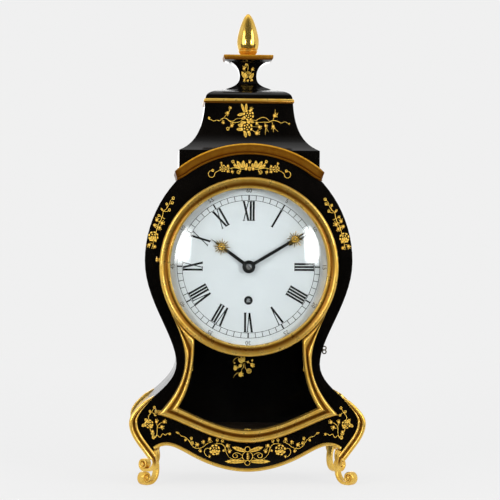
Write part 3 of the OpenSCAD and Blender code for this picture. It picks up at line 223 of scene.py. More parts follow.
# Handling marks: a soft cloud of grease and dust that makes a polish uneven.
handling = bpy.data.node_groups.new("handling marks", "ShaderNodeTree")
for way, names in (("INPUT", ("Cloud Size", "Low", "High")), ("OUTPUT", ("Roughness", "Mask"))):
    for name in names:
        handling.interface.new_socket(name=name, in_out=way, socket_type="NodeSocketFloat")
way_in = handling.nodes.new("NodeGroupInput")
way_out = handling.nodes.new("NodeGroupOutput")
cloud = ranged(handling, noise(handling, way_in.outputs["Cloud Size"], 4), 0.35, 0.7)
fine = ranged(handling, noise(handling, 900, 2), 0.3, 0.8)
mask = maths(handling, "ADD", maths(handling, "MULTIPLY", cloud, 0.88), maths(handling, "MULTIPLY", fine, 0.12))
spread = maths(handling, "SUBTRACT", way_in.outputs["High"], way_in.outputs["Low"])
join(handling, maths(handling, "ADD", way_in.outputs["Low"], maths(handling, "MULTIPLY", mask, spread)),
     way_out.inputs["Roughness"])
join(handling, mask, way_out.inputs["Mask"])


def handled(tree, shader, size, low, high):
    """Places the handling marks in a material, and returns their mask."""
    marks = shading(tree, "Group")
    marks.node_tree = handling
    for value, socket in zip((size, low, high), marks.inputs):
        join(tree, value, socket)
    join(tree, marks.outputs["Roughness"], shader.inputs["Roughness"])
    return marks.outputs["Mask"]


def two_tone(name, marks, first, second, **values):
    """A finish that goes from one colour to another by its handling marks of [size, low, high]."""
    material, tree, shader = new_finish(name, **values)
    join(tree, blended(tree, handled(tree, shader, *marks), first, second), shader.inputs["Base Color"])
    return material, tree, shader


lacquer, tree, shader = two_tone("black lacquer", (22, 0.1, 0.2), (0.0014, 0.0012, 0.001), (0.0034, 0.0026, 0.002),
                                 Coat_Weight=0.12, Coat_Roughness=0.03, Specular_IOR_Level=0.3)
bumped(tree, shader, noise(tree, 40, 2), 0.05, 0.3 * mm)


def apron_lift(x, z):
    """How much higher the apron's edge runs beside the feet than in the middle, in millimetres."""
    return 4.5 * exp(-((abs(x) - 98) / 30) ** 2) * max(0, min(1, (62 - z) / 10))


for node in ("front_board", "left_side", "right_side", "arch_board", "back_frame"):
    piece = worked(node, "_lacquered", 0.5)
    if node == "front_board":
        for vertex in piece.data.vertices:
            vertex.co.z += apron_lift(vertex.co.x / mm, vertex.co.z / mm) * mm
    fit_up(piece, node, lacquer)

# the wood's grain is its own; its very dark tone is painted shade for the inside of the case
bare_wood, tree, shader = new_finish("softwood in painted shade", Specular_IOR_Level=0.3)
handled(tree, shader, 40, 0.5, 0.75)
rings = noise(tree, 30, 4, 0.6, (1, 7, 7))
streaks = noise(tree, 220, 3, 0.6, (0.6, 6, 6))
wood = blended(tree, ranged(tree, rings, 0.3, 0.7), (0.02, 0.011, 0.006), (0.045, 0.025, 0.012))
join(tree, blended(tree, ranged(tree, streaks, 0.55, 0.75, 0, 0.6), wood, (0.012, 0.006, 0.004)),
     shader.inputs["Base Color"])
bumped(tree, shader, streaks, 0.3, 0.3 * mm)
dress("bottom_board", "_planed", bare_wood, 0.6)

# ---- Back door ----
# A plain lacquered board on two brass hinges. Each hinge is a pair of leaves round a
# pin, screwed on from behind, and a brass turn button holds the other edge shut.

brass, tree, shader = two_tone("satin brass", (60, 0.2, 0.42), (0.78, 0.57, 0.25), (0.5, 0.33, 0.12), Metallic=1.0)
bumped(tree, shader, noise(tree, 1500, 2, 0.6, (1, 1, 12)), 0.08, 0.1 * mm)

dress("back_door", "_lacquered", lacquer, 0.6)


def joined(name, pieces):
    pick(*pieces)
    bpy.ops.object.join()
    piece = bpy.context.object
    piece.name = piece.data.name = name
    return piece


# door stop: four strips glued inside the frame, which the door shuts against
stop_width, stop_thick, stop_y = 7, 1.6, 56.1
low, high = (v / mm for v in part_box("back_door"))
bars = [(low.x + 0.5, low.z - 3, high.z + 3), (high.x - 0.5, low.z - 3, high.z + 3)]
strips = [((x, x), (z0, z1)) for x, z0, z1 in bars] + [((low.x, high.x), (z, z)) for z in (low.z + 0.5, high.z - 0.5)]
for i, ((x0, x1), (z0, z1)) in enumerate(strips):
    strips[i] = added("strip", bpy.ops.mesh.primitive_cube_add, size=mm,
                      location=((x0 + x1) / 2 * mm, stop_y * mm, (z0 + z1) / 2 * mm),
                      scale=(x1 - x0 + stop_width, stop_thick, z1 - z0 + stop_width))
    bpy.ops.object.transform_apply(location=True, scale=True)
    strips[i].modifiers.new("eased edges", "BEVEL").width = 0.4 * mm
    apply_modifiers(strips[i])
stop = joined("back_door_stop", strips)
soften(stop, 40)
give(stop, lacquer)
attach(stop, "case")
dress("back_hinges back_hinge_leaves back_catch", "_polished", brass, 0.15)

# ---- Cornice ----
# A carved wooden moulding, bent over the arch and returned level along both sides.
# It is water gilded over red clay, and worn so that the clay shows through.


def hollowed(tree, shader, fresh, dark):
    """The base colour: fresh gilding, darkened as far as the piece's attribute says, for patina and painted shade."""
    shade_and_patina = shading(tree, "Attribute")
    shade_and_patina.attribute_name = "shade_and_patina"
    join(tree, blended(tree, shade_and_patina.outputs["Fac"], fresh, dark), shader.inputs["Base Color"])


leaf_gilding, tree, shader = new_finish("leaf gilding", Metallic=0.35, Specular_IOR_Level=0.06)
mask = handled(tree, shader, 70, 0.34, 0.55)
worn = ranged(tree, noise(tree, 160, 4, 0.65), 0.48, 0.8, 0, 0.7)
leafed = blended(tree, worn, blended(tree, mask, (0.82, 0.42, 0.04), (0.62, 0.28, 0.012)), (0.36, 0.13, 0.004))
# dark where the piece's attribute says: patina and painted shade
hollowed(tree, shader, leafed, (0.09, 0.022, 0.0001))
bumped(tree, shader, noise(tree, 500, 3), 0.08, 0.2 * mm)


def darken(piece, values):
    """Writes the attribute that the gilding darkens by, from 0 on the bright parts to 1 at the darkest: patina in the
    hollows, and painted shade in the hollows, on slopes and edges and on the sides away from the light.
    """
    layer = piece.data.attributes.get("shade_and_patina") or piece.data.attributes.new("shade_and_patina", "FLOAT", "POINT")
    layer.data.foreach_set("value", [float(value) for value in values])


def lofted(name, rings, smooth=40, shade_and_patina_values=None):
    """A bar drawn through rings of points in millimetres, each ring with as many points, closed at both ends."""
    count = len(rings[0])
    piece = added(name, bpy.ops.mesh.primitive_circle_add, vertices=count, radius=1, fill_type="NGON")

    def draw_out():
        for _ in rings[1:]:
            bpy.ops.mesh.extrude_region_move(TRANSFORM_OT_translate={"value": (0, 0, 1)})

    edited(draw_out)
    first = piece.data.vertices[0].co
    start = atan2(first.y, first.x)
    dark = []
    for vertex in piece.data.vertices:
        turn = (atan2(vertex.co.y, vertex.co.x) - start) / (2 * pi) * count
        dark.append(shade_and_patina_values[round(turn) % count] if shade_and_patina_values else 0)
        vertex.co = Vector(rings[round(vertex.co.z)][round(turn) % count]) * mm
    darken(piece, dark)
    edited(face_outward)
    soften(piece, smooth)
    return piece


board_front = -65
arch_centre, arch_low, cornice_tall = 282.3, 128.5, 13.5
end_x, end_out, end_low, end_high = 87.7, 0.56, 378.3, 389.4
ogee = [(0, 0), (3.2, 0), (4.4, 0.5), (4.9, 1.3), (4.8, 2.1), (3.9, 2.5), (3.9, 3.1), (4.9, 3.5), (5.3, 4.2), (5.5, 5),
        (5.8, 6), (6.2, 7), (6.7, 8.1), (7.3, 9.2), (7.8, 10.2), (8.2, 11), (8.6, 11.6), (8.9, 12.2), (8.9, 12.8),
        (8.4, 13.4), (4, cornice_tall), (0, cornice_tall)]
mitre = [(end_x + out * end_out, board_front - out, end_low + up / cornice_tall * (end_high - end_low))
         for out, up in ogee]
last = asin((end_x - 0.4) / (arch_low + cornice_tall))
arc = [[((arch_low + up) * sin(last * (1 - i / 36)), board_front - out,
         arch_centre + (arch_low + up) * cos(last * (1 - i / 36))) for out, up in ogee] for i in range(73)]
back = [(x, 65, z) for x, y, z in mitre]
rings = [back, mitre] + arc + [[(-x, y, z) for x, y, z in mitre], [(-x, y, z) for x, y, z in back]]
# darkening for each point of the ogee: patina and painted shade in its grooves, painted shade on its broad face and
# underside, bright on the top bead
shade_of = [1, 0.95, 0.85, 0.8, 0.9, 1, 1, 0.96, 0.9, 0.86, 0.84, 0.82, 0.82, 0.84, 0.86, 0.88, 0.6, 0.1, 0, 0,
            0.5, 1]
cornice = lofted("cornice_gilded", rings, 50, shade_of)
# painted shade on the cornice's returns along the sides, full beyond 91 mm out
shades = [0.0] * len(cornice.data.vertices)
cornice.data.attributes["shade_and_patina"].data.foreach_get("value", shades)
darken(cornice, [max(s, min(1, (abs(v.co.x) / mm - 84) / 7)) for s, v in zip(shades, cornice.data.vertices)])
fit_up(cornice, "cornice", leaf_gilding)

# ---- Hat ----
# A hollow bell of lacquered wood on a square plinth, a gilt band, a moulded shoulder, a
# waisted neck, a gilt cap plate and a turned brass finial, all on one threaded rod.


def gilding(name, metal, low, high):
    """Fire gilding: brighter or redder by handling, and red-brown where the piece's attribute darkens it: patina in the
    hollows, and painted shade there and on slopes, edges and the sides away from the light.
    """
    material, tree, shader = new_finish(name, Metallic=metal, Specular_IOR_Level=0.2)
    mask = handled(tree, shader, 90, low, high)
    hollowed(tree, shader, blended(tree, mask, (0.95, 0.64, 0.15), (0.78, 0.45, 0.055)), (0.17, 0.055, 0.0006))
    bumped(tree, shader, noise(tree, 120, 2), 0.03, 0.2 * mm)
    return material


gilt = gilding("gilt brass", 0.72, 0.25, 0.37)
polished_gilt = gilding("polished gilt brass", 0.88, 0.12, 0.2)

steel, tree, shader = two_tone("polished steel", (120, 0.2, 0.4), (0.55, 0.56, 0.58), (0.33, 0.33, 0.34), Metallic=0.75)

dress("hat_body hat_shoulder hat_neck", "_lacquered", lacquer, 0.4)
# painted shade: the band and the cap plate are cut across and darker below, bright at the top
for node, shares, finish in (("hat_band", (0.95, 0.95, 0.2, 0), gilt),
                             ("cap_plate", (0.95, 0.85, 0.8, 0), leaf_gilding)):
    piece = worked(node, "_gilded", 0.5)
    low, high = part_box(node)[0].z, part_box(node)[1].z
    for share in (0.42, 0.56):
        edited(lambda: bpy.ops.mesh.bisect(plane_co=(0, 0, low + share * (high - low)), plane_no=(0, 0, 1)))
    darken(piece, np.interp([(v.co.z - low) / (high - low) for v in piece.data.vertices], (0, 0.42, 0.56, 1), shares))
    fit_up(piece, node, finish)
dress("finial_rod", "_polished", steel, 0.1)


def turned(name, outline, centre, axis="Y", steps=96):
    """Spins an outline of [radius, place along the axis] round an axis through a centre."""
    piece = added(name, bpy.ops.mesh.primitive_circle_add, vertices=len(outline))
    for vertex, (radius, along) in zip(piece.data.vertices, outline):
        at = (radius, along, 0) if axis == "Y" else (radius, 0, along)
        vertex.co = (Vector(at) + Vector(centre)) * mm
    touching = [i for i, point in enumerate(outline) if point[0] == 0]
    bpy.ops.object.mode_set(mode="EDIT")
    bpy.ops.mesh.select_all(action="DESELECT")
    bpy.ops.mesh.select_mode(type="EDGE")
    bpy.ops.object.mode_set(mode="OBJECT")
    for edge in piece.data.edges:
        edge.select = len(touching) == 2 and set(edge.vertices) == set(touching)
    bpy.ops.object.mode_set(mode="EDIT")
    if len(touching) == 2:
        bpy.ops.mesh.delete(type="EDGE_FACE")
    bpy.ops.mesh.select_all(action="SELECT")
    bpy.ops.mesh.spin(steps=steps, angle=2 * pi, center=Vector(centre) * mm,
                      axis=(0, 1, 0) if axis == "Y" else (0, 0, 1))
    bpy.ops.mesh.select_all(action="SELECT")
    bpy.ops.mesh.remove_doubles(threshold=0.002 * mm)
    bpy.ops.mesh.normals_make_consistent(inside=False)
    bpy.ops.object.mode_set(mode="OBJECT")
    bpy.ops.object.shade_smooth_by_angle(angle=radians(32))
    return piece


finial_foot = 539
acorn = [(0, 0), (7.6, 0), (8.4, 0.6), (8.9, 1.6), (9.8, 2.2), (11.2, 3.6), (12.0, 5.2), (12.4, 6.4),
         (12.1, 7.0), (11.8, 7.3), (12.2, 7.9), (13.1, 10.5), (13.8, 14), (14, 18), (13.7, 22.5), (12.9, 27),
         (11.7, 32), (10.2, 37), (8.5, 42), (6.7, 46.5), (4.8, 50), (3, 52.4), (1.4, 53.7), (0, 54)]
fit_up(turned("finial_acorn", acorn, (0, 0, finial_foot), "Z"), "finial", polished_gilt)

# ---- Corner mounts and feet ----
# Cast and gilt brass: a moulded strip up each corner of the case that runs out below in
# a leg with a scroll. Each is pinned to the boards through its two flanges.


def bent(a, b, c, d, count):
    """Points of a curve from a to d that leaves towards b and arrives from c."""
    return [tuple((1 - t) ** 3 * p + 3 * (1 - t) ** 2 * t * q + 3 * (1 - t) * t * t * r + t ** 3 * s
                  for p, q, r, s in zip(a, b, c, d)) for t in (i / count for i in range(count + 1))]


def headings(line):
    """The unit direction at each point of a line."""
    last = len(line) - 1
    return [(Vector(line[min(i + 1, last)]) - Vector(line[max(i - 1, 0)])).normalized() for i in range(len(line))]


tip_z = 111
edge_line = [p for p in bent((89.4, 150), (89.4, 118), (144.6, 98), (144.6, 76), 34) if p[1] < tip_z]
edge_line += bent((144.6, 76), (144.6, 62), (132.5, 49.5), (122.5, 35.5), 14)[1:] + [(119.5, 31.6)]
strip = [(0.1, -55), (2.5, -55), (3, -55.5), (3, -60), (3, -64.6), (2.9, -65.9), (2.4, -67.1), (1.5, -67.9),
         (0.4, -68.2), (-0.7, -67.9), (-1.6, -67.1), (-2.1, -66.4), (-2.6, -65.7), (-3.3, -65.5), (-3.9, -65.7),
         (-4.3, -66.4), (-4.7, -67.1), (-5.3, -67.6), (-6, -67.7), (-6.7, -67.5), (-7.2, -66.9), (-7.5, -66.1),
         (-7.5, -64.95), (-3.5, -64.9), (0.1, -64.9)]
rings = []
for i, ((x, z), way) in enumerate(zip(edge_line, headings(edge_line))):
    wide = min(1, (i + 1) / 5)
    inward = min(1, (i + 0.6) / 17)
    ring = []
    for out, depth in strip:
        along = out * (wide if out > 0 else inward)
        if depth < board_front:
            depth = board_front + (depth - board_front) * (0.35 + 0.65 * inward)
        ring.append((x - way[1] * along, depth, z + way[0] * along))
    rings.append(ring)
# darkening across the strip: patina and painted shade in the channel between its beads, painted shade on its back
# against the board
dark = [0.1, 0, 0, 0, 0, 0, 0, 0, 0, 0.2, 0.6, 0.9, 1, 1, 1, 0.8, 0.4, 0.1, 0, 0, 0.1, 0.4, 0.6, 1, 1]
mount = lofted("mount", rings, 50, dark)

root, scroll_out, scroll_r, slant = (118, -61), 14, 9.4, 0.7071   # the leg stands out at 45 degrees
down = (bent((0.5, 43), (-3.5, 34), (-6.3, 28), (-6.3, 19), 12)
        + bent((-6.3, 19), (-6.3, 9), (-1, 2.2), (scroll_out - 5, 2.2), 12)[1:])
shank, turns, coils = len(down), 1.55, 34   # points of the leg above its scroll, turns of the scroll, its points
for i in range(coils + 1):
    share = i / coils
    angle = -pi / 2 + share * turns * 2 * pi
    radius = (scroll_r - 2.1) * (1 - share) ** 0.85 + 2.2 * share
    down.append((scroll_out + radius * cos(angle), scroll_r + radius * sin(angle)))
rings = []
for i, ((out, z), way) in enumerate(zip(down, headings(down))):
    if i < shank:
        half = 4.3 + 3.2 * max(0, 1 - i / 9) ** 1.6 + 0.5 * max(0, (i - 14) / 10)
        thick = 4.3 + 1.8 * max(0, 1 - i / 8)
    else:
        half, thick = 4.8 + 0.5 * (i - shank) / coils, 4.2 - 2.6 * ((i - shank) / coils) ** 0.6
    deep = 1.5 * max(0, min(1, (11 - i) / 3))
    t = thick / 2
    face = [(-1, 0), (-1, t - 0.9), (-0.94, t - 0.2), (-0.82, t + 0.1), (-0.66, t), (-0.48, t - 0.35 * deep),
            (-0.26, t - 0.85 * deep), (0, t - deep)]
    rear = [(1, 0.7 - t), (0.9, 0.15 - t), (0.6, -0.05 - t), (0, -0.15 - t), (-0.6, -0.05 - t), (-0.9, 0.15 - t),
            (-1, 0.7 - t)]
    section = face + [(-p, q) for p, q in face[-2::-1]] + rear
    front = (-way[1], way[0])
    rings.append([(root[0] + (out + front[0] * q + p * half) * slant,
                   root[1] - (out + front[0] * q - p * half) * slant, max(0, z + front[1] * q)) for p, q in section])
leg = lofted("leg", rings, 50)
channel = []   # the channel down the middle of the leg's face, darkened with patina and painted shade, fading out below
for vertex in leg.data.vertices:
    x, y, z = vertex.co - Vector((*root, 0)) * mm
    inside = abs(x + y) < 3 * mm and x - y > -8.5 * mm
    channel.append(max(0, min(1, (z - 21 * mm) / (8 * mm))) if inside else 0)
darken(leg, channel)


def moved(x, y, z):
    return Matrix.Translation((x, y, z))


def sized(x, y, z):
    return Matrix.Diagonal((x, y, z, 1))


def swung(angle):
    """A turn like a clock hand's, seen from the front."""
    return Matrix.Rotation(angle, 4, "Y")


def place_copy(model, matrix):
    """A copy of a model with its own mesh, moved by a matrix."""
    piece = model.copy()
    piece.data = model.data.copy()
    piece.data.transform(matrix)
    bpy.context.scene.collection.objects.link(piece)
    return piece


def mirrored(piece, x=-1, y=1):
    """The same piece turned over to the other side of the clock."""
    other = place_copy(piece, sized(x, y, 1))
    if x * y < 0:
        pick(other)
        edited(face_outward)
    return other


eye = turned("eye", [(0, -6.4), (1.2, -6.2), (2, -5.6), (2.4, -4.8), (2.4, 4.8), (2, 5.6), (1.2, 6.2), (0, 6.4)],
             (0, 0, 0), steps=24)
eye.data.transform(moved((root[0] + scroll_out * slant) * mm, (root[1] - scroll_out * slant) * mm, scroll_r * mm)
                   @ Matrix.Rotation(radians(-45), 4, "Z"))
darken(eye, [0] * len(eye.data.vertices))
lobe = turned("lobe", [(0, -8), (1.5, -7), (2.4, -4), (2.7, 0), (2.4, 4), (1.6, 7.4), (0, 8.4)], (111.4, -60.6, 35.5),
              "Z", 24)
darken(lobe, [0.35] * len(lobe.data.vertices))
foot = joined("foot_front_right_cast", [leg, mount, eye, lobe])
feet = [(foot, "foot_front_right"), (mirrored(foot), "foot_front_left"),
        (mirrored(foot, 1, -1), "foot_back_right"), (mirrored(foot, -1, -1), "foot_back_left")]
for piece, node in feet:
    piece.name = piece.data.name = node + "_cast"
    fit_up(piece, node, gilt)

# apron strip: a drawn half-round bead with a lip under the board, bent along the scallops
apron_line = (bent((122.5, 35.5), (115.5, 42.5), (110, 45), (101, 45), 12)[4:-1]
              + bent((101, 45), (82, 45), (45, 17), (0, 17), 44))
apron_line = [(x, z + apron_lift(x, z)) for x, z in apron_line]
bead = [(-1.2, -55), (-1.2, -65.4), (-0.9, -66.4), (-0.2, -67.3), (0.8, -67.8), (1.7, -67.6), (2.5, -66.9), (3, -65.9),
        (3.1, -64.9), (0, -64.9), (0, -55)]
rings = [[(x + way[1] * up, depth, z - way[0] * up) for up, depth in bead]
         for (x, z), way in zip(apron_line, headings(apron_line))]
rings += [[(-x, y, z) for x, y, z in ring] for ring in rings[-2::-1]]
# the apron bead's darkening: bright on its crown, painted shade on its flanks and on the lip behind it against the
# board
fit_up(lofted("apron_strip_drawn", rings, 50, [0.6, 0.5, 0.2, 0, 0, 0, 0, 0.2, 0.8, 1, 1]), "apron_strip", gilt)

# ---- Front door ----
# A brass plate with a round and a waisted opening. A stamped moulding is soldered round
# both; the groove between its two beads is dark with patina and painted shade.

dress("door_leaf", "_gilded", gilt, 0.2)

dial_z = 271
ring_outer, ring_inner, leaf_front, bead_height = 111.4, 97.6, -69.4, 7.6
bead_shape = [(0, -0.02), (0, 0.42), (0.02, 0.62), (0.06, 0.8), (0.12, 0.93), (0.18, 0.99), (0.24, 1), (0.31, 0.96),
              (0.38, 0.88), (0.45, 0.78), (0.52, 0.68), (0.57, 0.62), (0.62, 0.59), (0.67, 0.6), (0.72, 0.66),
              (0.77, 0.74), (0.82, 0.78), (0.87, 0.77), (0.92, 0.69), (0.96, 0.56), (1, 0.38), (1, -0.02)]
bezel = turned("dial_bezel_gilded",
               [(ring_outer - share * (ring_outer - ring_inner), leaf_front - height * bead_height)
                for share, height in bead_shape], (0, 0, dial_z), steps=180)
# the bezel's darkening: patina and painted shade in the groove between its beads, painted shade on the slopes and at
# the outer and inner edges
darken(bezel, np.interp([(ring_outer - hypot(v.co.x / mm, v.co.z / mm - dial_z)) / (ring_outer - ring_inner)
                         for v in bezel.data.vertices],
                        (0, 0.06, 0.16, 0.3, 0.42, 0.5, 0.7, 0.76, 0.85, 0.94, 1),
                        (0.4, 0, 0, 0.35, 0.7, 0.9, 1, 0.8, 0.3, 0.05, 0.4)))
fit_up(bezel, "dial_bezel", gilt)

leave_angle = radians(-22.7)
leave = (ring_outer * cos(leave_angle), dial_z + ring_outer * sin(leave_angle))
along = (leave[0] + 26 * sin(leave_angle), leave[1] - 26 * cos(leave_angle))
outer_line = (bent(leave, along, (78.6, 180), (78.6, 156), 36)[:-1]
              + bent((78.6, 156), (78.6, 128), (94, 106), (112.5, 87), 36))[9:]
outer_line += bent((112.5, 87), (88, 84), (46, 52.6), (0, 52.6), 48)[1:]
seam = [radians(-33.6 - 19.4 * i / 30) for i in range(30)]
pane_line = bent((67.5, dial_z - 88.62), (66.5, 150), (72, 118), (87, 96), 72)
inner_line = [((ring_outer + 0.3) * cos(a), dial_z + (ring_outer + 0.3) * sin(a)) for a in seam]
inner_line += [pane_line[round(72 * i / 34)] for i in range(1, 35)]
inner_line += bent((87, 96), (60, 83), (30, 68), (0, 68), 48)[1:]
# each point of the section: share across, height, and darkening: patina and painted shade in the groove, painted shade
# at both edges
skirt_shape = [(0, -0.02, 0.8), (0, 0.32, 0.6), (0.02, 0.54, 0.5), (0.07, 0.76, 0.3), (0.14, 0.92, 0), (0.22, 0.98, 0),
               (0.3, 0.97, 0), (0.37, 0.88, 0.3), (0.42, 0.74, 0.6), (0.46, 0.6, 0.85), (0.5, 0.52, 1),
               (0.54, 0.48, 1), (0.58, 0.5, 0.95), (0.62, 0.57, 0.8), (0.66, 0.69, 0.55), (0.71, 0.84, 0.25),
               (0.77, 0.96, 0), (0.83, 1, 0), (0.89, 0.95, 0), (0.94, 0.82, 0.2), (0.98, 0.62, 0.5), (1, 0.42, 0.7),
               (1, -0.02, 0.9)]
rings = []
for (x0, z0), (x1, z1) in zip(outer_line, inner_line):
    rise = bead_height * min(1, 0.45 + hypot(x1 - x0, z1 - z0) / 20)
    rings.append([(x0 + (x1 - x0) * share, leaf_front - rise * height, z0 + (z1 - z0) * share)
                  for share, height, _ in skirt_shape])
rings += [[(-x, y, z) for x, y, z in ring] for ring in rings[-2::-1]]
fit_up(lofted("door_moulding_gilded", rings, 50, [p[2] for p in skirt_shape]), "door_moulding", gilt)

# ---- Glasses ----
# The upper glass is blown convex and ground to a flat rim, held from behind by a ring
# with four pegs. The lower pane is flat and held by three bent tabs.

glass, tree, shader = new_finish("clear glass", Base_Color=(0.96, 0.985, 0.975), Transmission_Weight=1.0, IOR=1.48)
join(tree, ranged(tree, noise(tree, 20, 2), 0.4, 0.8, 0.0, 0.012), shader.inputs["Roughness"])
clear = shading(tree, "BsdfTransparent", Color=(0.94, 0.96, 0.95))
ray = shading(tree, "LightPath")


def mixed_surface(tree, share, first, second):
    """The material's surface: one shader, and a second one by its share."""
    either = shading(tree, "MixShader")
    for value, socket in zip((share, first, second), either.inputs):
        join(tree, value, socket)
    join(tree, either.outputs[0], tree.nodes["Material Output"].inputs["Surface"])


mixed_surface(tree, ray.outputs["Is Shadow Ray"], shader.outputs["BSDF"], clear.outputs["BSDF"])

rim_y, glass_back, dome_edge, dome_rise = -65.1, -63.1, 97, 15
glass_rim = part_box("dial_glass")[1].x / mm
dome_radius = (dome_edge ** 2 + dome_rise ** 2) / (2 * dome_rise)


def dome_line(radius, edge, front, count=28):
    """Points of a shallow dome from its edge in to the axis."""
    deepest = sqrt(radius ** 2 - edge ** 2)
    steps = [edge * (1 - i / count) for i in range(count + 1)]
    return [(at, front - (sqrt(radius ** 2 - at ** 2) - deepest)) for at in steps]


dome = turned("dial_glass_blown",
              [(glass_rim, glass_back), (glass_rim, rim_y)] + dome_line(dome_radius, dome_edge, rim_y)
              + dome_line(dome_radius - 2, dome_edge, glass_back)[::-1], (0, 0, dial_z), steps=192)
fit_up(dome, "dial_glass", glass)
dress("lower_glass", "_cut", glass, 0.1)
dress("glass_ring door_hinges door_striker lock_case", "_polished", brass, 0.1)

# ---- Latch key ----
# Bent from dark drawn wire, with a figure-eight bow and a filed blade.

bronze, tree, shader = two_tone("darkened wire", (200, 0.3, 0.55), (0.2, 0.17, 0.11), (0.08, 0.07, 0.05), Metallic=1.0)
dress("lock_key", "_filed", bronze, 0.05, 40)

# ---- Dial ----
# A copper disc with white enamel on both sides, fired and ground. The numerals and the
# minute track are painted in black enamel and fired again.

enamel, tree, shader = two_tone("white enamel", (18, 0.14, 0.3), (0.725, 0.75, 0.785), (0.675, 0.7, 0.735),
                                Coat_Weight=0.7, Coat_Roughness=0.05)
bumped(tree, shader, noise(tree, 30, 2), 0.1, 0.3 * mm)
dress("dial", "_enamelled", enamel, 0.3)
dress("mask_plate", "_turned", brass, 0.2)

black, tree, shader = two_tone("black enamel", (150, 0.25, 0.45), (0.003, 0.003, 0.0032), (0.009, 0.009, 0.0095),
                               Specular_IOR_Level=0.25)

dial_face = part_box("dial")[0].y / mm
paint, sunk = 0.12, 0.03   # thickness of the painted strokes, and how much of it is in the enamel
paint_y = dial_face - paint / 2 + sunk


def painted_strokes(name, strokes):
    """Straight brush strokes of [x0, z0, x1, z1, width] as one piece."""
    piece = added(name, bpy.ops.mesh.primitive_cube_add, size=1)

    def brush():
        bpy.ops.mesh.delete(type="VERT")
        for x0, z0, x1, z1, width in strokes:
            bpy.ops.mesh.primitive_cube_add(
                size=1, location=((x0 + x1) / 2 * mm, paint_y * mm, (z0 + z1) / 2 * mm),
                rotation=(0, atan2(x1 - x0, z1 - z0), 0),
                scale=(width * mm, paint * mm, hypot(x1 - x0, z1 - z0) * mm))

    edited(brush)
    return piece


# three upright letters, each with its foot at height 0
thick, thin, serif = 2.55, 1.1, 0.9
top, upper, lower = 24.2, 24.1, 0.4   # ends of the strokes, and heights of the serifs
strokes_of = {
    "I": [(0, 0.3, 0, top, thick), (-1.7, lower, 1.7, lower, serif), (-1.7, upper, 1.7, upper, serif)],
    "V": [(-2.8, top, 0.5, 0.2, thick), (2.8, top, 0.8, 0.6, thin), (-4.3, upper, -1.2, upper, serif),
          (1.5, upper, 4.1, upper, serif)],
    "X": [(-2.9, top, 2.9, 0.3, thick), (2.9, top, -2.9, 0.3, thin), (-4.4, upper, -1.4, upper, serif),
          (1.6, upper, 4.2, upper, serif), (1.4, lower, 4.4, lower, serif), (-4.2, lower, -1.6, lower, serif)]}
letters = {name: painted_strokes("letter_" + name, strokes) for name, strokes in strokes_of.items()}
advance = {"I": 3.6, "V": 7.8, "X": 8}
numeral_foot = 57.2
painted = []
for hour, text in enumerate("I II III IIII V VI VII VIII IX X XI XII".split(), 1):
    along = -sum(advance[c] for c in text) / 2
    for c in text:
        painted.append(place_copy(letters[c], moved(0, 0, dial_z * mm) @ swung(radians(hour * 30))
                                  @ moved((along + advance[c] / 2) * mm, 0, numeral_foot * mm)))
        along += advance[c]
for piece in letters.values():
    bpy.data.objects.remove(piece)
hour_numerals = joined("hour_numerals", painted)


def flat_ring(name, inner, outer):
    back, front = dial_face + sunk, dial_face - paint + sunk
    return turned(name, [(inner, back), (outer, back), (outer, front), (inner, front)], (0, 0, dial_z), steps=180)


ticks = []
for minute in range(60):
    angle = radians(minute * 6)
    ends = [(r * sin(angle), dial_z + r * cos(angle)) for r in (82.6, 89.2)]
    ticks.append((*ends[0], *ends[1], 0.75 if minute % 5 else 1.7))
ticks = painted_strokes("ticks", ticks)
minute_track = joined("minute_track", [ticks, flat_ring("a", 82.3, 82.9), flat_ring("b", 88.7, 89.3)])

figures = []
figure_out = 94.6
for minute in range(5, 61, 5):
    figure = added("figure", bpy.ops.object.text_add)
    figure.data.body = str(minute)
    figure.data.align_x = figure.data.align_y = "CENTER"
    figure.data.size = 7.2 * mm
    figure.data.extrude = paint / 2 * mm
    figure.data.resolution_u = 4
    bpy.ops.object.convert(target="MESH")
    figure.data.transform(moved(0, 0, dial_z * mm) @ swung(radians(minute * 6))
                          @ moved(0, paint_y * mm, figure_out * mm) @ Matrix.Rotation(radians(90), 4, "X"))
    figures.append(figure)
minute_figures = joined("minute_figures", figures)

for piece in (hour_numerals, minute_track, minute_figures):
    give(piece, black)
    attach(piece, "case")

# a black cup on the winding arbor that fills the winding hole round the square: painted shade, so the hole reads dark
winding_z = 229
hole_shade_cup = turned("winding_collar", [(0, -55.5), (5.3, -55.5), (5.3, -56.5), (4.9, -56.5), (4.8, -55.8), (0, -55.8)],
                (0, 0, winding_z), steps=48)
give(hole_shade_cup, black)
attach(hole_shade_cup, nodes["winding_arbor"]["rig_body"])

# ---- Hands ----
# Sawn from steel, filed to a taper and enamelled black, each with a gilt star riveted
# on near its middle. A domed nut on the arbor holds both.

for node, turn in (("hour_hand", -54), ("minute_hand", 59)):   # degrees from twelve, at ten past ten
    piece = worked(node, "_filed", 0.2)
    ahead = Vector((sin(radians(turn)), 0, cos(radians(turn))))
    aside = Vector((ahead.z, 0, -ahead.x))
    for vertex in piece.data.vertices:   # the blades are broad and lean, and swell beyond the hub
        reach = (vertex.co - Vector((0, vertex.co.y, dial_z * mm))).dot(ahead)
        grow = min(1, max(0, (reach / mm - 8) / 12))
        vertex.co += aside * (vertex.co - Vector((0, 0, dial_z * mm))).dot(aside) * 0.45 * grow
    fit_up(piece, node, black)

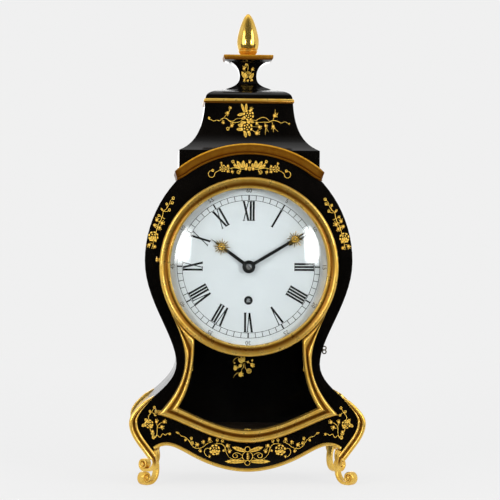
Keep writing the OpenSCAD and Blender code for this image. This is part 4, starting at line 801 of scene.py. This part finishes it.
dark_steel, tree, shader = two_tone("darkened steel", (200, 0.14, 0.3), (0.34, 0.35, 0.36), (0.18, 0.18, 0.19),
                                    Metallic=0.8)
nut = worked("hand_nut", "_polished", 0.1)
nut_front, nut_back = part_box("hand_nut")
nut_mid = (nut_front + nut_back) / 2
blade = added("blade", bpy.ops.mesh.primitive_cube_add, size=mm, location=(nut_mid.x, nut_front.y, nut_mid.z),
              rotation=(0, radians(40), 0), scale=(14, 1.6, 1.1))
slot = nut.modifiers.new("slot", "BOOLEAN")
slot.object = blade
slot.operation = "DIFFERENCE"
apply_modifiers(nut)
bpy.data.objects.remove(blade)
soften(nut, 32)
fit_up(nut, "hand_nut", dark_steel)


def star_model():
    """A sunburst of sixteen pointed rays round a cluster of beads, its back at the origin."""
    rays = []
    for i in range(16):
        reach = 10.5 if i % 2 == 0 else 8.6
        ray = added("ray", bpy.ops.mesh.primitive_cone_add, vertices=8, radius1=0.95 * mm, radius2=0.3 * mm,
                    depth=(reach - 3) * mm)
        # painted shade: each ray is darker at its root, among the beads
        darken(ray, [0.75 if v.co.z < 0 else 0 for v in ray.data.vertices])
        ray.data.transform(swung(radians(22.5 * i + 5)) @ moved(0, -0.55 * mm, (reach + 3) / 2 * mm)
                           @ sized(1, 0.6, 1))
        rays.append(ray)
    for i in range(9):
        radius, forward, out = (1.5, -1.1, 0) if i == 8 else (1.15, -0.8, 3.2)
        bead = added("bead", bpy.ops.mesh.primitive_uv_sphere_add, segments=12, ring_count=8, radius=radius * mm)
        # painted shade: each bead is darker on its back half, towards the hand
        darken(bead, [0.9 if v.co.y > 0 else 0 for v in bead.data.vertices])
        bead.data.transform(swung(radians(45 * i)) @ moved(0, forward * mm, out * mm) @ sized(1, 0.6, 1))
        rays.append(bead)
    star = joined("star", rays)
    soften(star, 40)
    return star


star = star_model()
for node in ("hour_star", "minute_star"):
    low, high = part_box(node)
    piece = place_copy(star, moved((low.x + high.x) / 2, high.y - 0.1 * mm, (low.z + high.z) / 2))
    piece.name = piece.data.name = node + "_chased"
    fit_up(piece, node, polished_gilt)
bpy.data.objects.remove(star)
hub = turned("hand_hub", [(0, 0), (7.9, 0), (8.1, -0.2), (7.9, -0.5), (6.6, -0.75), (0, -0.75)],
             (nut_mid.x / mm, nut_back.y / mm + 0.05, nut_mid.z / mm), steps=64)
give(hub, black)
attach(hub, nodes["minute_hand"]["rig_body"])

# ---- Movement ----
# Two brass plates on turned pillars, a going barrel, four brass wheels with steel
# pinions, a lever escapement and the motion work under the dial.

blued, tree, shader = two_tone("blued spring steel", (150, 0.18, 0.36), (0.1, 0.14, 0.24), (0.2, 0.2, 0.22),
                               Metallic=1.0)

dress("front_plate back_plate", "_cut", brass, 0.1)
dress("pillars barrel second_wheel centre_wheel third_wheel fourth_wheel escape_wheel balance escapement_bridge "
      "minute_wheel hour_wheel", "_cut", brass, 0, clean=False)
dress("plate_nuts winding_arbor click lever cannon_pinion", "_cut", steel, 0, clean=False)
dress("mainspring hairspring", "_coiled", blued, 0, clean=False)

# ---- Painted flowers ----
# Gold size laid on with a brush in slight relief and gilt with powder: roses, buds,
# leaves and curling stems on the front board, the hat and the back of the lower glass.

painted_gold, tree, shader = new_finish("painted gold", Metallic=0.15, Specular_IOR_Level=0.15)
handled(tree, shader, 300, 0.34, 0.55)
shade = ranged(tree, noise(tree, 700, 3), 0.42, 0.66)
# dark where the piece's attribute says: painted shade at the feet and rims of the raised strokes, and over the spray
# behind the lower glass
hollowed(tree, shader, blended(tree, shade, (1.0, 0.7, 0.14), (1.0, 0.55, 0.05)), (0.1, 0.03, 0.001))


def relief(name, corners, steps):
    """A shallow raised disc that is inset in steps of [shrink, height]."""
    piece = added(name, bpy.ops.mesh.primitive_circle_add, vertices=corners, radius=1, fill_type="NGON",
                  rotation=(pi / 2, 0, 0))
    bpy.ops.object.transform_apply(rotation=True)

    def raise_up():
        for shrink, height in steps:
            bpy.ops.mesh.extrude_region_move(TRANSFORM_OT_translate={"value": (0, -height, 0)})
            bpy.ops.transform.resize(value=(shrink, 1, shrink))

    edited(raise_up, face_outward)
    bpy.ops.object.shade_smooth_by_angle(angle=radians(50))
    # painted shade: the foot of the raised disc, where it meets the surface, is dark
    darken(piece, [1 if v.co.y > -0.1 else 0 for v in piece.data.vertices])
    return piece


def darken_rim(piece, radii, shades):
    """Darkens a flat piece by the distance from its middle."""
    darken(piece, np.interp([hypot(v.co.x, v.co.z) for v in piece.data.vertices], radii, shades))


def petals(name, rows):
    """Rows of round petals with dark gaps: [number, distance out, half length, half width, turn]."""
    parts = []
    for number, out, long, wide, start in rows:
        petal = relief("petal", 10, [(0.84, 0.3), (0.6, 0.2)])
        darken_rim(petal, (0.5, 0.84, 1), (0, 0.55, 1))
        for i in range(number):
            turn = swung(2 * pi * i / number + start)
            parts.append(place_copy(petal, turn @ moved(0, 0, out) @ sized(wide, 1, long)))
        bpy.data.objects.remove(petal)
    return joined(name, parts)


rose = petals("rose", [(8, 0.84, 0.19, 0.3, 0), (5, 0.42, 0.15, 0.2, 0.4), (1, 0, 0.13, 0.13, 0)])
bud = relief("bud", 14, [(0.92, 0.4), (0.85, 0.1), (0.84, -0.16), (0.84, 0.2), (0.5, 0.1)])
darken_rim(bud, (0, 0.4, 0.6, 0.8, 1), (0, 0, 0.35, 0.8, 1))
sepals = [relief("sepal", 8, [(0.7, 0.3)]) for _ in range(3)]
for sepal, angle in zip(sepals, (-0.75, 0, 0.75)):
    sepal.data.transform(swung(angle) @ moved(0, 0, 1.12) @ sized(0.2, 1, 0.55))
bud = joined("bud", [bud] + sepals)


def leaf_model():
    """A notched leaf, one long and one wide, of pairs of lobes along a rib."""
    lobe = relief("lobe", 10, [(0.84, 0.3), (0.6, 0.2)])
    darken_rim(lobe, (0.5, 0.84, 1), (0, 0.4, 1))
    parts = [place_copy(lobe, moved(0.84, 0, 0) @ sized(0.16, 1, 0.14)),
             place_copy(lobe, moved(0.42, 0, 0) @ sized(0.42, 0.8, 0.07))]
    for i in range(5):
        along = 0.12 + 0.15 * i
        full = sin(pi * (along + 0.12)) ** 0.7
        for side in (-1, 1):
            parts.append(place_copy(lobe, moved(along + 0.06, 0, side * 0.26 * full) @ swung(radians(-side * 48))
                                    @ sized(0.24 * full, 1, 0.072)))
    bpy.data.objects.remove(lobe)
    return joined("leaf", parts)


leaf = leaf_model()


def spray(name, surface, start, stems=(), leaves=(), roses=(), buds=(), curls=(), both_sides=False, outward=-1,
          body="case"):
    """Paints a group of flowers on a piece, with places from [x, z] of a start, all in tenths of a millimetre.

    A stem is x, z, x, z and so on, a leaf its two ends and its width, a rose or bud its place and radius, and a
    curl its place, radius and way: 1 or -1 for a curl that closes to either side, 0 for a ring.
    """
    def at(x, z):
        return (start[0] + x) / 10, (start[1] + z) / 10

    line = bpy.data.curves.new(name, "CURVE")
    line.dimensions = "3D"
    line.bevel_depth = 0.36 * mm
    line.bevel_resolution = 1
    line.resolution_u = 3
    line.use_fill_caps = True

    def stroke(points, thin=0.45):
        spline = line.splines.new("BEZIER")
        last = len(points) - 1
        spline.bezier_points.add(last)
        for i, (x, z) in enumerate(points):
            point = spline.bezier_points[i]
            point.co = (x * mm, 0, z * mm)
            point.handle_left_type = point.handle_right_type = "AUTO"
            point.radius = 1 - (1 - thin) * abs(2 * i / max(last, 1) - 1) ** 3
    for points in stems:
        stroke([at(*pair) for pair in zip(points[::2], points[1::2])])
    for x, z, r, way in curls:
        (x, z), turns, close = at(x, z), 1.35 if way else 1, 0.62 if way else 0
        rounds = [(r / 10 * (1 - close * i / 9), 2 * pi * turns * i / 9 + 2.4) for i in range(10)]
        stroke([(x + (way or 1) * out * sin(turn), z + out * cos(turn)) for out, turn in rounds], 0.8)
    vine = bpy.data.objects.new(name, line)
    bpy.context.scene.collection.objects.link(vine)
    pick(vine)
    bpy.ops.object.convert(target="MESH")
    vine.data.transform(sized(1, 0.7, 1))
    pieces = [vine]
    for model, places, share, tall in ((rose, roses, 1.1, 1), (bud, buds, 0.88, 1.15)):
        for i, (x, z, r) in enumerate(places):
            (x, z), r = at(x, z), r / 10 * share
            size = sized(r * mm, min(r, 2.4) / 2 * mm, r * tall * mm)
            pieces.append(place_copy(model, moved(x * mm, 0, z * mm) @ size @ swung(0.9 * i + 0.3)))
    for x0, z0, x1, z1, width in leaves:
        (x0, z0), (x1, z1) = at(x0, z0), at(x1, z1)
        size = sized(hypot(x1 - x0, z1 - z0) * mm, 1.1 * mm, 2 * width / 10 * mm)
        turn = swung(-atan2(z1 - z0, x1 - x0))
        pieces.append(place_copy(leaf, moved(x0 * mm, 0, z0 * mm) @ turn @ size))
    piece = joined(name, pieces)
    if both_sides:
        piece = joined(name, [piece, mirrored(piece)])
    board = bpy.data.objects[surface]
    for vertex in piece.data.vertices:
        x, y, z = vertex.co
        hit, where, _, _ = board.ray_cast((x, 0.2 * outward, z), (0, -outward, 0))
        if hit:
            vertex.co.y = where.y + (y if outward < 0 else -y)
    if outward > 0:   # on the back of a pane the paint lies the other way round, and all of it is darkened with painted shade, as it lies in the dark behind the glass
        darken(piece, [0.4] * len(piece.data.vertices))
        pick(piece)
        edited(bpy.ops.mesh.flip_normals)
    give(piece, painted_gold)
    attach(piece, body)


spray("cheek_flowers", "front_board_lacquered", (-1180, 2950), both_sides=True,
      stems=[(-29, -24, -4, 69, 22, 168, 29, 206, 49, 270, 86, 334, 105, 398, 115, 442, 150, 474, 182, 525, 201, 576,
        236, 608), (29, 206, 42, 256, 6, 270), (86, 334, 55, 312, 32, 334), (49, 256, 86, 269, 96, 295), (36, 212, 68,
        239), (150, 474, 161, 506, 150, 535), (115, 442, 155, 440, 189, 461), (92, 356, 78, 381, 57, 391), (103, 375,
        124, 350, 138, 359), (188, 538, 209, 536, 224, 551), (-20, 19, 10, 2), (-20, 44, -45, 44, -60, 25)],
      leaves=[(80, 486, 112, 442, 16), (-9, 130, -54, 71, 28), (-9, 130, 28, 59, 25)],
      roses=[(-9, 130, 58)],
      buds=[(32, 334, 25), (96, 295, 28), (6, 270, 25), (68, 239, 24), (-60, 25, 25), (10, 2, 24)],
      curls=[(236, 608, 20, 1), (224, 551, 19, 1), (150, 535, 16, -1), (189, 461, 19, 1), (57, 391, 16, -1)])
spray("corner_flowers", "front_board_lacquered", (-1220, 580), both_sides=True,
      stems=[(-8, 172, -4, 214, -16, 260, 24, 321, 59, 379), (9, 295, 1, 331), (24, 321, 52, 301, 71, 286), (-8, 172,
        9, 101, 30, 39, 50, -20), (50, -20, 85, 24, 94, 85, 97, 137, 129, 178, 172, 199), (97, 137, 88, 170, 85, 199),
        (97, 126, 125, 124, 150, 134), (65, 1, 51, 39, 36, 76), (67, 1, 94, 32, 129, 6, 164, 50, 199, 32, 216, 50, 251,
        50)],
      leaves=[(-8, 182, -62, 241, 25), (-48, 172, -100, 140, 25), (-4, 164, 34, 120, 22)],
      roses=[(-8, 172, 50)],
      buds=[(85, 199, 24), (181, 199, 25), (150, 134, 25), (36, 76, 24)],
      curls=[(1, 331, 16, -1), (59, 379, 18, 1), (71, 286, 16, 1), (45, 6, 20, -1), (251, 50, 15, 1)])
spray("apron_flowers", "front_board_lacquered", (-780, 410), both_sides=True,
      stems=[(768, 2, 736, -16, 716, -59, 736, -104, 768, -124), (718, -54, 674, -22, 625, -19, 595, -49, 625, -79,
        655, -51, 628, -36), (549, -70, 516, -16, 501, 38, 469, 86, 415, 98, 361, 91), (718, -72, 630, -104, 549, -70),
        (345, 124, 285, 102, 221, 54, 145, 38, 91, 70, 49, 135, -5, 182, -49, 194, -70, 221), (309, 34, 264, 38, 242,
        -5, 275, -59, 306, -65), (524, 21, 555, 0), (504, 28, 479, 11), (501, 38, 511, 65, 528, 75), (318, 111, 306,
        156), (255, 84, 231, 124), (174, 41, 156, 86), (199, 46, 194, 5), (392, 94, 404, 145), (449, 90, 469, 135),
        (68, 109, 81, 167), (18, 165, 5, 145), (78, 84, 107, 96, 91, 113)],
      leaves=[(761, 2, 586, 56, 32), (755, -122, 495, -124, 32), (371, 21, 425, -36, 25), (371, 21, 323, -21, 22),
        (-70, 221, -116, 242, 15)],
      roses=[(371, 21, 62)],
      buds=[(555, 0, 24), (479, 11, 16), (528, 75, 25), (306, 156, 25), (231, 124, 22), (156, 86, 25), (194, 5, 21),
        (306, -65, 16)],
      curls=[(404, 145, 19, 1), (469, 135, 19, 1), (81, 167, 18, 1), (5, 145, 15, -1), (91, 113, 15, -1)])
spray("apron_centre_flowers", "front_board_lacquered", (0, 270),
      buds=[(0, 104, 15), (0, 79, 16), (0, 56, 15)],
      curls=[(-1, 168, 32, 0), (-1, 0, 32, 0)])
spray("arch_flowers", "front_board_lacquered", (-360, 3890), both_sides=True,
      stems=[(360, 66, 316, 41, 248, 34, 172, 51, 91, 35, 30, 41), (30, 41, 17, 79, 9, 110), (30, 35, -28, 10, -71,
        -21, -79, -52, -121, -71, -152, -40, -138, 4, -96, 16), (98, 38, 89, 4), (141, 45, 142, 1), (98, 38, 91, 72),
        (241, 34, 250, 9, 225, -2), (198, 48, 179, 98, 154, 129), (360, 66, 360, 121)],
      leaves=[(260, 41, 201, 136, 28), (279, 41, 283, 144, 28), (248, 36, 155, 91, 22), (316, 49, 326, 110, 20)],
      roses=[(30, 41, 40)],
      buds=[(316, 41, 26), (89, 4, 19), (142, 1, 19), (91, 72, 19), (9, 110, 15)],
      curls=[(225, -2, 25, 1), (154, 129, 20, 1), (-96, 16, 18, 1)])
spray("arch_centre_flowers", "front_board_lacquered", (0, 3900),
      leaves=[(0, 0, 0, 61, 22)],
      buds=[(0, 111, 20)])
spray("hat_bouquet", "hat_body_lacquered", (-270, 4460),
      stems=[(181, 110, 108, 102, 74, 76, 25, 76, -24, 110, -74, 102, -99, 76, -140, 85, -172, 72, -206, 89, -238, 97,
        -234, 113), (181, 84, 132, 61, 74, 55, 33, 68, 1, 93), (-50, 110, -25, 142, 1, 175, 24, 206, 37, 241), (-64,
        103, -53, 52), (74, 55, 53, 16, 1, -22), (284, 103, 354, 85, 403, 113, 452, 126, 493, 110, 526, 76), (297, 65,
        395, 61, 461, 65, 519, 65, 559, 85, 600, 85, 641, 72, 675, 55, 716, 72, 756, 55, 776, 48), (572, 85, 579, 116,
        592, 147, 599, 224), (592, 147, 619, 161, 633, 187), (465, 65, 477, 19, 485, -55), (480, 0, 514, -63), (479, 0,
        472, -96), (555, 83, 572, 10, 575, -63), (574, 0, 633, -55), (264, 151, 284, 193, 296, 220), (297, -26, 336,
        -58, 367, -76), (297, 7, 399, 3)],
      leaves=[(213, 180, 172, 301, 19), (233, 200, 235, 301, 20), (213, 170, 117, 148, 22), (233, 124, 171, 99, 22),
        (220, 65, 159, 44, 25), (215, -51, 230, -136, 25), (265, -51, 279, -116, 22), (194, 7, 127, 31, 25), (200, -32,
        109, -29, 25), (278, 84, 329, 57, 22), (265, 90, 258, 45, 25)],
      roses=[(264, 151, 62), (239, -2, 69)],
      buds=[(296, 220, 24), (367, -76, 31), (399, 3, 25), (367, 52, 21), (1, 175, 25), (37, 241, 18), (-53, 52, 20),
        (53, 16, 25), (592, 147, 28), (477, 19, 22), (572, 10, 25), (776, 48, 12)],
      curls=[(-234, 113, 15, -1), (1, -22, 22, -1)])
spray("neck_flowers", "hat_neck_lacquered", (-40, 5170),
      stems=[(28, 0, 39, 58, 26, 110, 6, 119), (74, 6, 93, 45), (15, -7, -13, 54)],
      leaves=[(15, -79, -42, 19, 28), (61, -79, 111, 3, 25), (22, -59, -4, 0, 20)],
      roses=[(41, -20, 36)],
      buds=[(-13, 54, 24), (93, 45, 20), (9, 104, 16), (-8, -90, 18), (39, -93, 16), (88, -90, 20)])
spray("pane_flowers", "lower_glass_cut", (-120, 1420), outward=1, body="front_door",
      stems=[(51, 99, 64, 49, 39, 5), (76, 92, 91, 18, 131, -8), (82, 111, 139, 92, 170, 68), (-73, 105, -42, 145, 2,
        164), (-68, -95, -32, -46, 8, -26), (32, 61, -5, 30, -41, 24), (39, 5, 25, -54)],
      leaves=[(45, 86, -3, 154, 24), (43, 74, 2, 41, 24), (52, 99, 30, 176, 20), (64, 99, 72, 179, 18)],
      roses=[(131, -8, 29)],
      buds=[(-41, 24, 26), (25, -54, 28), (170, 68, 25), (118, 105, 12), (172, 126, 12), (-49, 92, 10)])

for model in (rose, bud, leaf):
    bpy.data.objects.remove(model)

# ---- Room ----
# A pale floor and a plain pale surround, two tall soft lamps at the front left and
# front right, two broad ones at the sides and one above.

pale = 0.871

floor = added("floor", bpy.ops.mesh.primitive_circle_add, vertices=64, radius=9, fill_type="NGON")
ground, tree, shader = new_finish("pale floor", Roughness=0.9, Specular_IOR_Level=0.0)
glow = shading(tree, "Emission", Color=(pale, pale, pale))
ray = shading(tree, "LightPath")
place = shading(tree, "TexCoord").outputs["Object"]
split = shading(tree, "SeparateXYZ", Vector=place)
length = shading(tree, "VectorMath", Vector=place)
length.operation = "LENGTH"


def straight_through(tree, ray):
    """1 for a ray that has come from the camera through glass alone."""
    bounces = maths(tree, "ADD", ray.outputs["Diffuse Depth"], ray.outputs["Glossy Depth"])
    return maths(tree, "MULTIPLY", ray.outputs["Is Transmission Ray"], maths(tree, "LESS_THAN", bounces, 0.5))


# a polish mirrors the pale floor beside and behind the clock, and a dark one in front of it
behind = ranged(tree, split.outputs["Y"], -0.3, 0.05, 0, 1)
through = straight_through(tree, ray)
indirect = maths(tree, "SUBTRACT", maths(tree, "MAXIMUM", ray.outputs["Is Glossy Ray"],
                                         ray.outputs["Is Transmission Ray"]), through)
mirrors = maths(tree, "MULTIPLY", indirect, behind)
unseen = maths(tree, "SUBTRACT", indirect, mirrors)
join(tree, blended(tree, unseen, (0.95, 0.95, 0.95), (0.004, 0.004, 0.004)), shader.inputs["Base Color"])
seen = maths(tree, "MAXIMUM", maths(tree, "MAXIMUM", ray.outputs["Is Camera Ray"], through), mirrors)
share = maths(tree, "MULTIPLY", seen, ranged(tree, length.outputs["Value"], 0.5, 2.5, 0.88, 1))
mixed_surface(tree, share, shader.outputs["BSDF"], glow.outputs[0])
give(floor, ground)

world = bpy.data.worlds.new("pale room")
bpy.context.scene.world = world
world.use_nodes = True
tree = world.node_tree
tree.nodes.clear()
out = shading(tree, "OutputWorld")
sky = shading(tree, "Background", Color=(1, 1, 1))
ray = shading(tree, "LightPath")
split = shading(tree, "SeparateXYZ", Vector=shading(tree, "TexCoord").outputs["Generated"])
# dark towards the front, where the photographer's dark room is, and pale to the sides, the top and the back
dark_front = ranged(tree, split.outputs["Y"], -0.65, -0.1, 0.018, 0.85)
see_through = maths(tree, "MAXIMUM", ray.outputs["Is Camera Ray"], straight_through(tree, ray))
join(tree, maths(tree, "MULTIPLY", maths(tree, "MAXIMUM", dark_front, see_through), pale), sky.inputs["Strength"])
join(tree, sky.outputs[0], out.inputs["Surface"])


def lamp(name, azimuth, height, distance, width, tall, power, core=1.0):
    """A soft lamp at an azimuth from the front, aimed at the clock. Outside its core its cloth dims to the edge."""
    light = bpy.data.lights.new(name, "AREA")
    light.shape = "RECTANGLE"
    light.size, light.size_y, light.energy = width, tall, power
    if core < 1:
        light.use_nodes = True
        tree = light.node_tree
        split = shading(tree, "SeparateXYZ", Vector=shading(tree, "NewGeometry").outputs["Parametric"])
        shares = [ranged(tree, maths(tree, "ABSOLUTE", maths(tree, "SUBTRACT", split.outputs[axis], 0.5), 0),
                         core / 2, 0.5, 1, 0) for axis in "XY"]
        join(tree, maths(tree, "MULTIPLY", *shares), tree.nodes["Emission"].inputs["Strength"])
    lamp = bpy.data.objects.new(name, light)
    angle = radians(azimuth)
    lamp.location = (distance * sin(angle), -distance * cos(angle), height)
    aim = Vector((0, 0, 0.29)) - lamp.location
    lamp.rotation_euler = aim.to_track_quat("-Z", "Y").to_euler()
    bpy.context.scene.collection.objects.link(lamp)


lamp("left softbox", -31.5, 0.64, 2.2, 0.46, 0.76, 23, core=0.4)
lamp("right softbox", 34, 0.64, 2.2, 0.34, 0.76, 21, core=0.4)
lamp("top softbox", 0, 2.4, -0.1, 2.6, 1.6, 6)
lamp("left fill", -51, 1.0, 2.2, 0.9, 1.7, 15)
lamp("right fill", 51, 1.0, 2.2, 0.9, 1.7, 15)
lamp("back fill", 180, 0.9, 2.4, 1.4, 1.2, 8)

# the camera stands as it does in the photograph
camera_data = bpy.data.cameras.new("camera")
camera_data.lens = 136
camera_data.sensor_width = 36
camera = bpy.data.objects.new("camera", camera_data)
azimuth, distance, eye = radians(-2.8), 2.35, 0.303
target = Vector((0.00125, -0.065, 0.2919))
camera.location = target + Vector((sin(azimuth) * distance, -cos(azimuth) * distance, eye - target.z))
look = (target - camera.location).to_track_quat("-Z", "Y")
camera.rotation_euler = (look.to_matrix() @ Matrix.Rotation(radians(0.4), 3, "Z")).to_euler()
bpy.context.scene.collection.objects.link(camera)
bpy.context.scene.camera = camera
bpy.context.scene.view_settings.view_transform = "Standard"
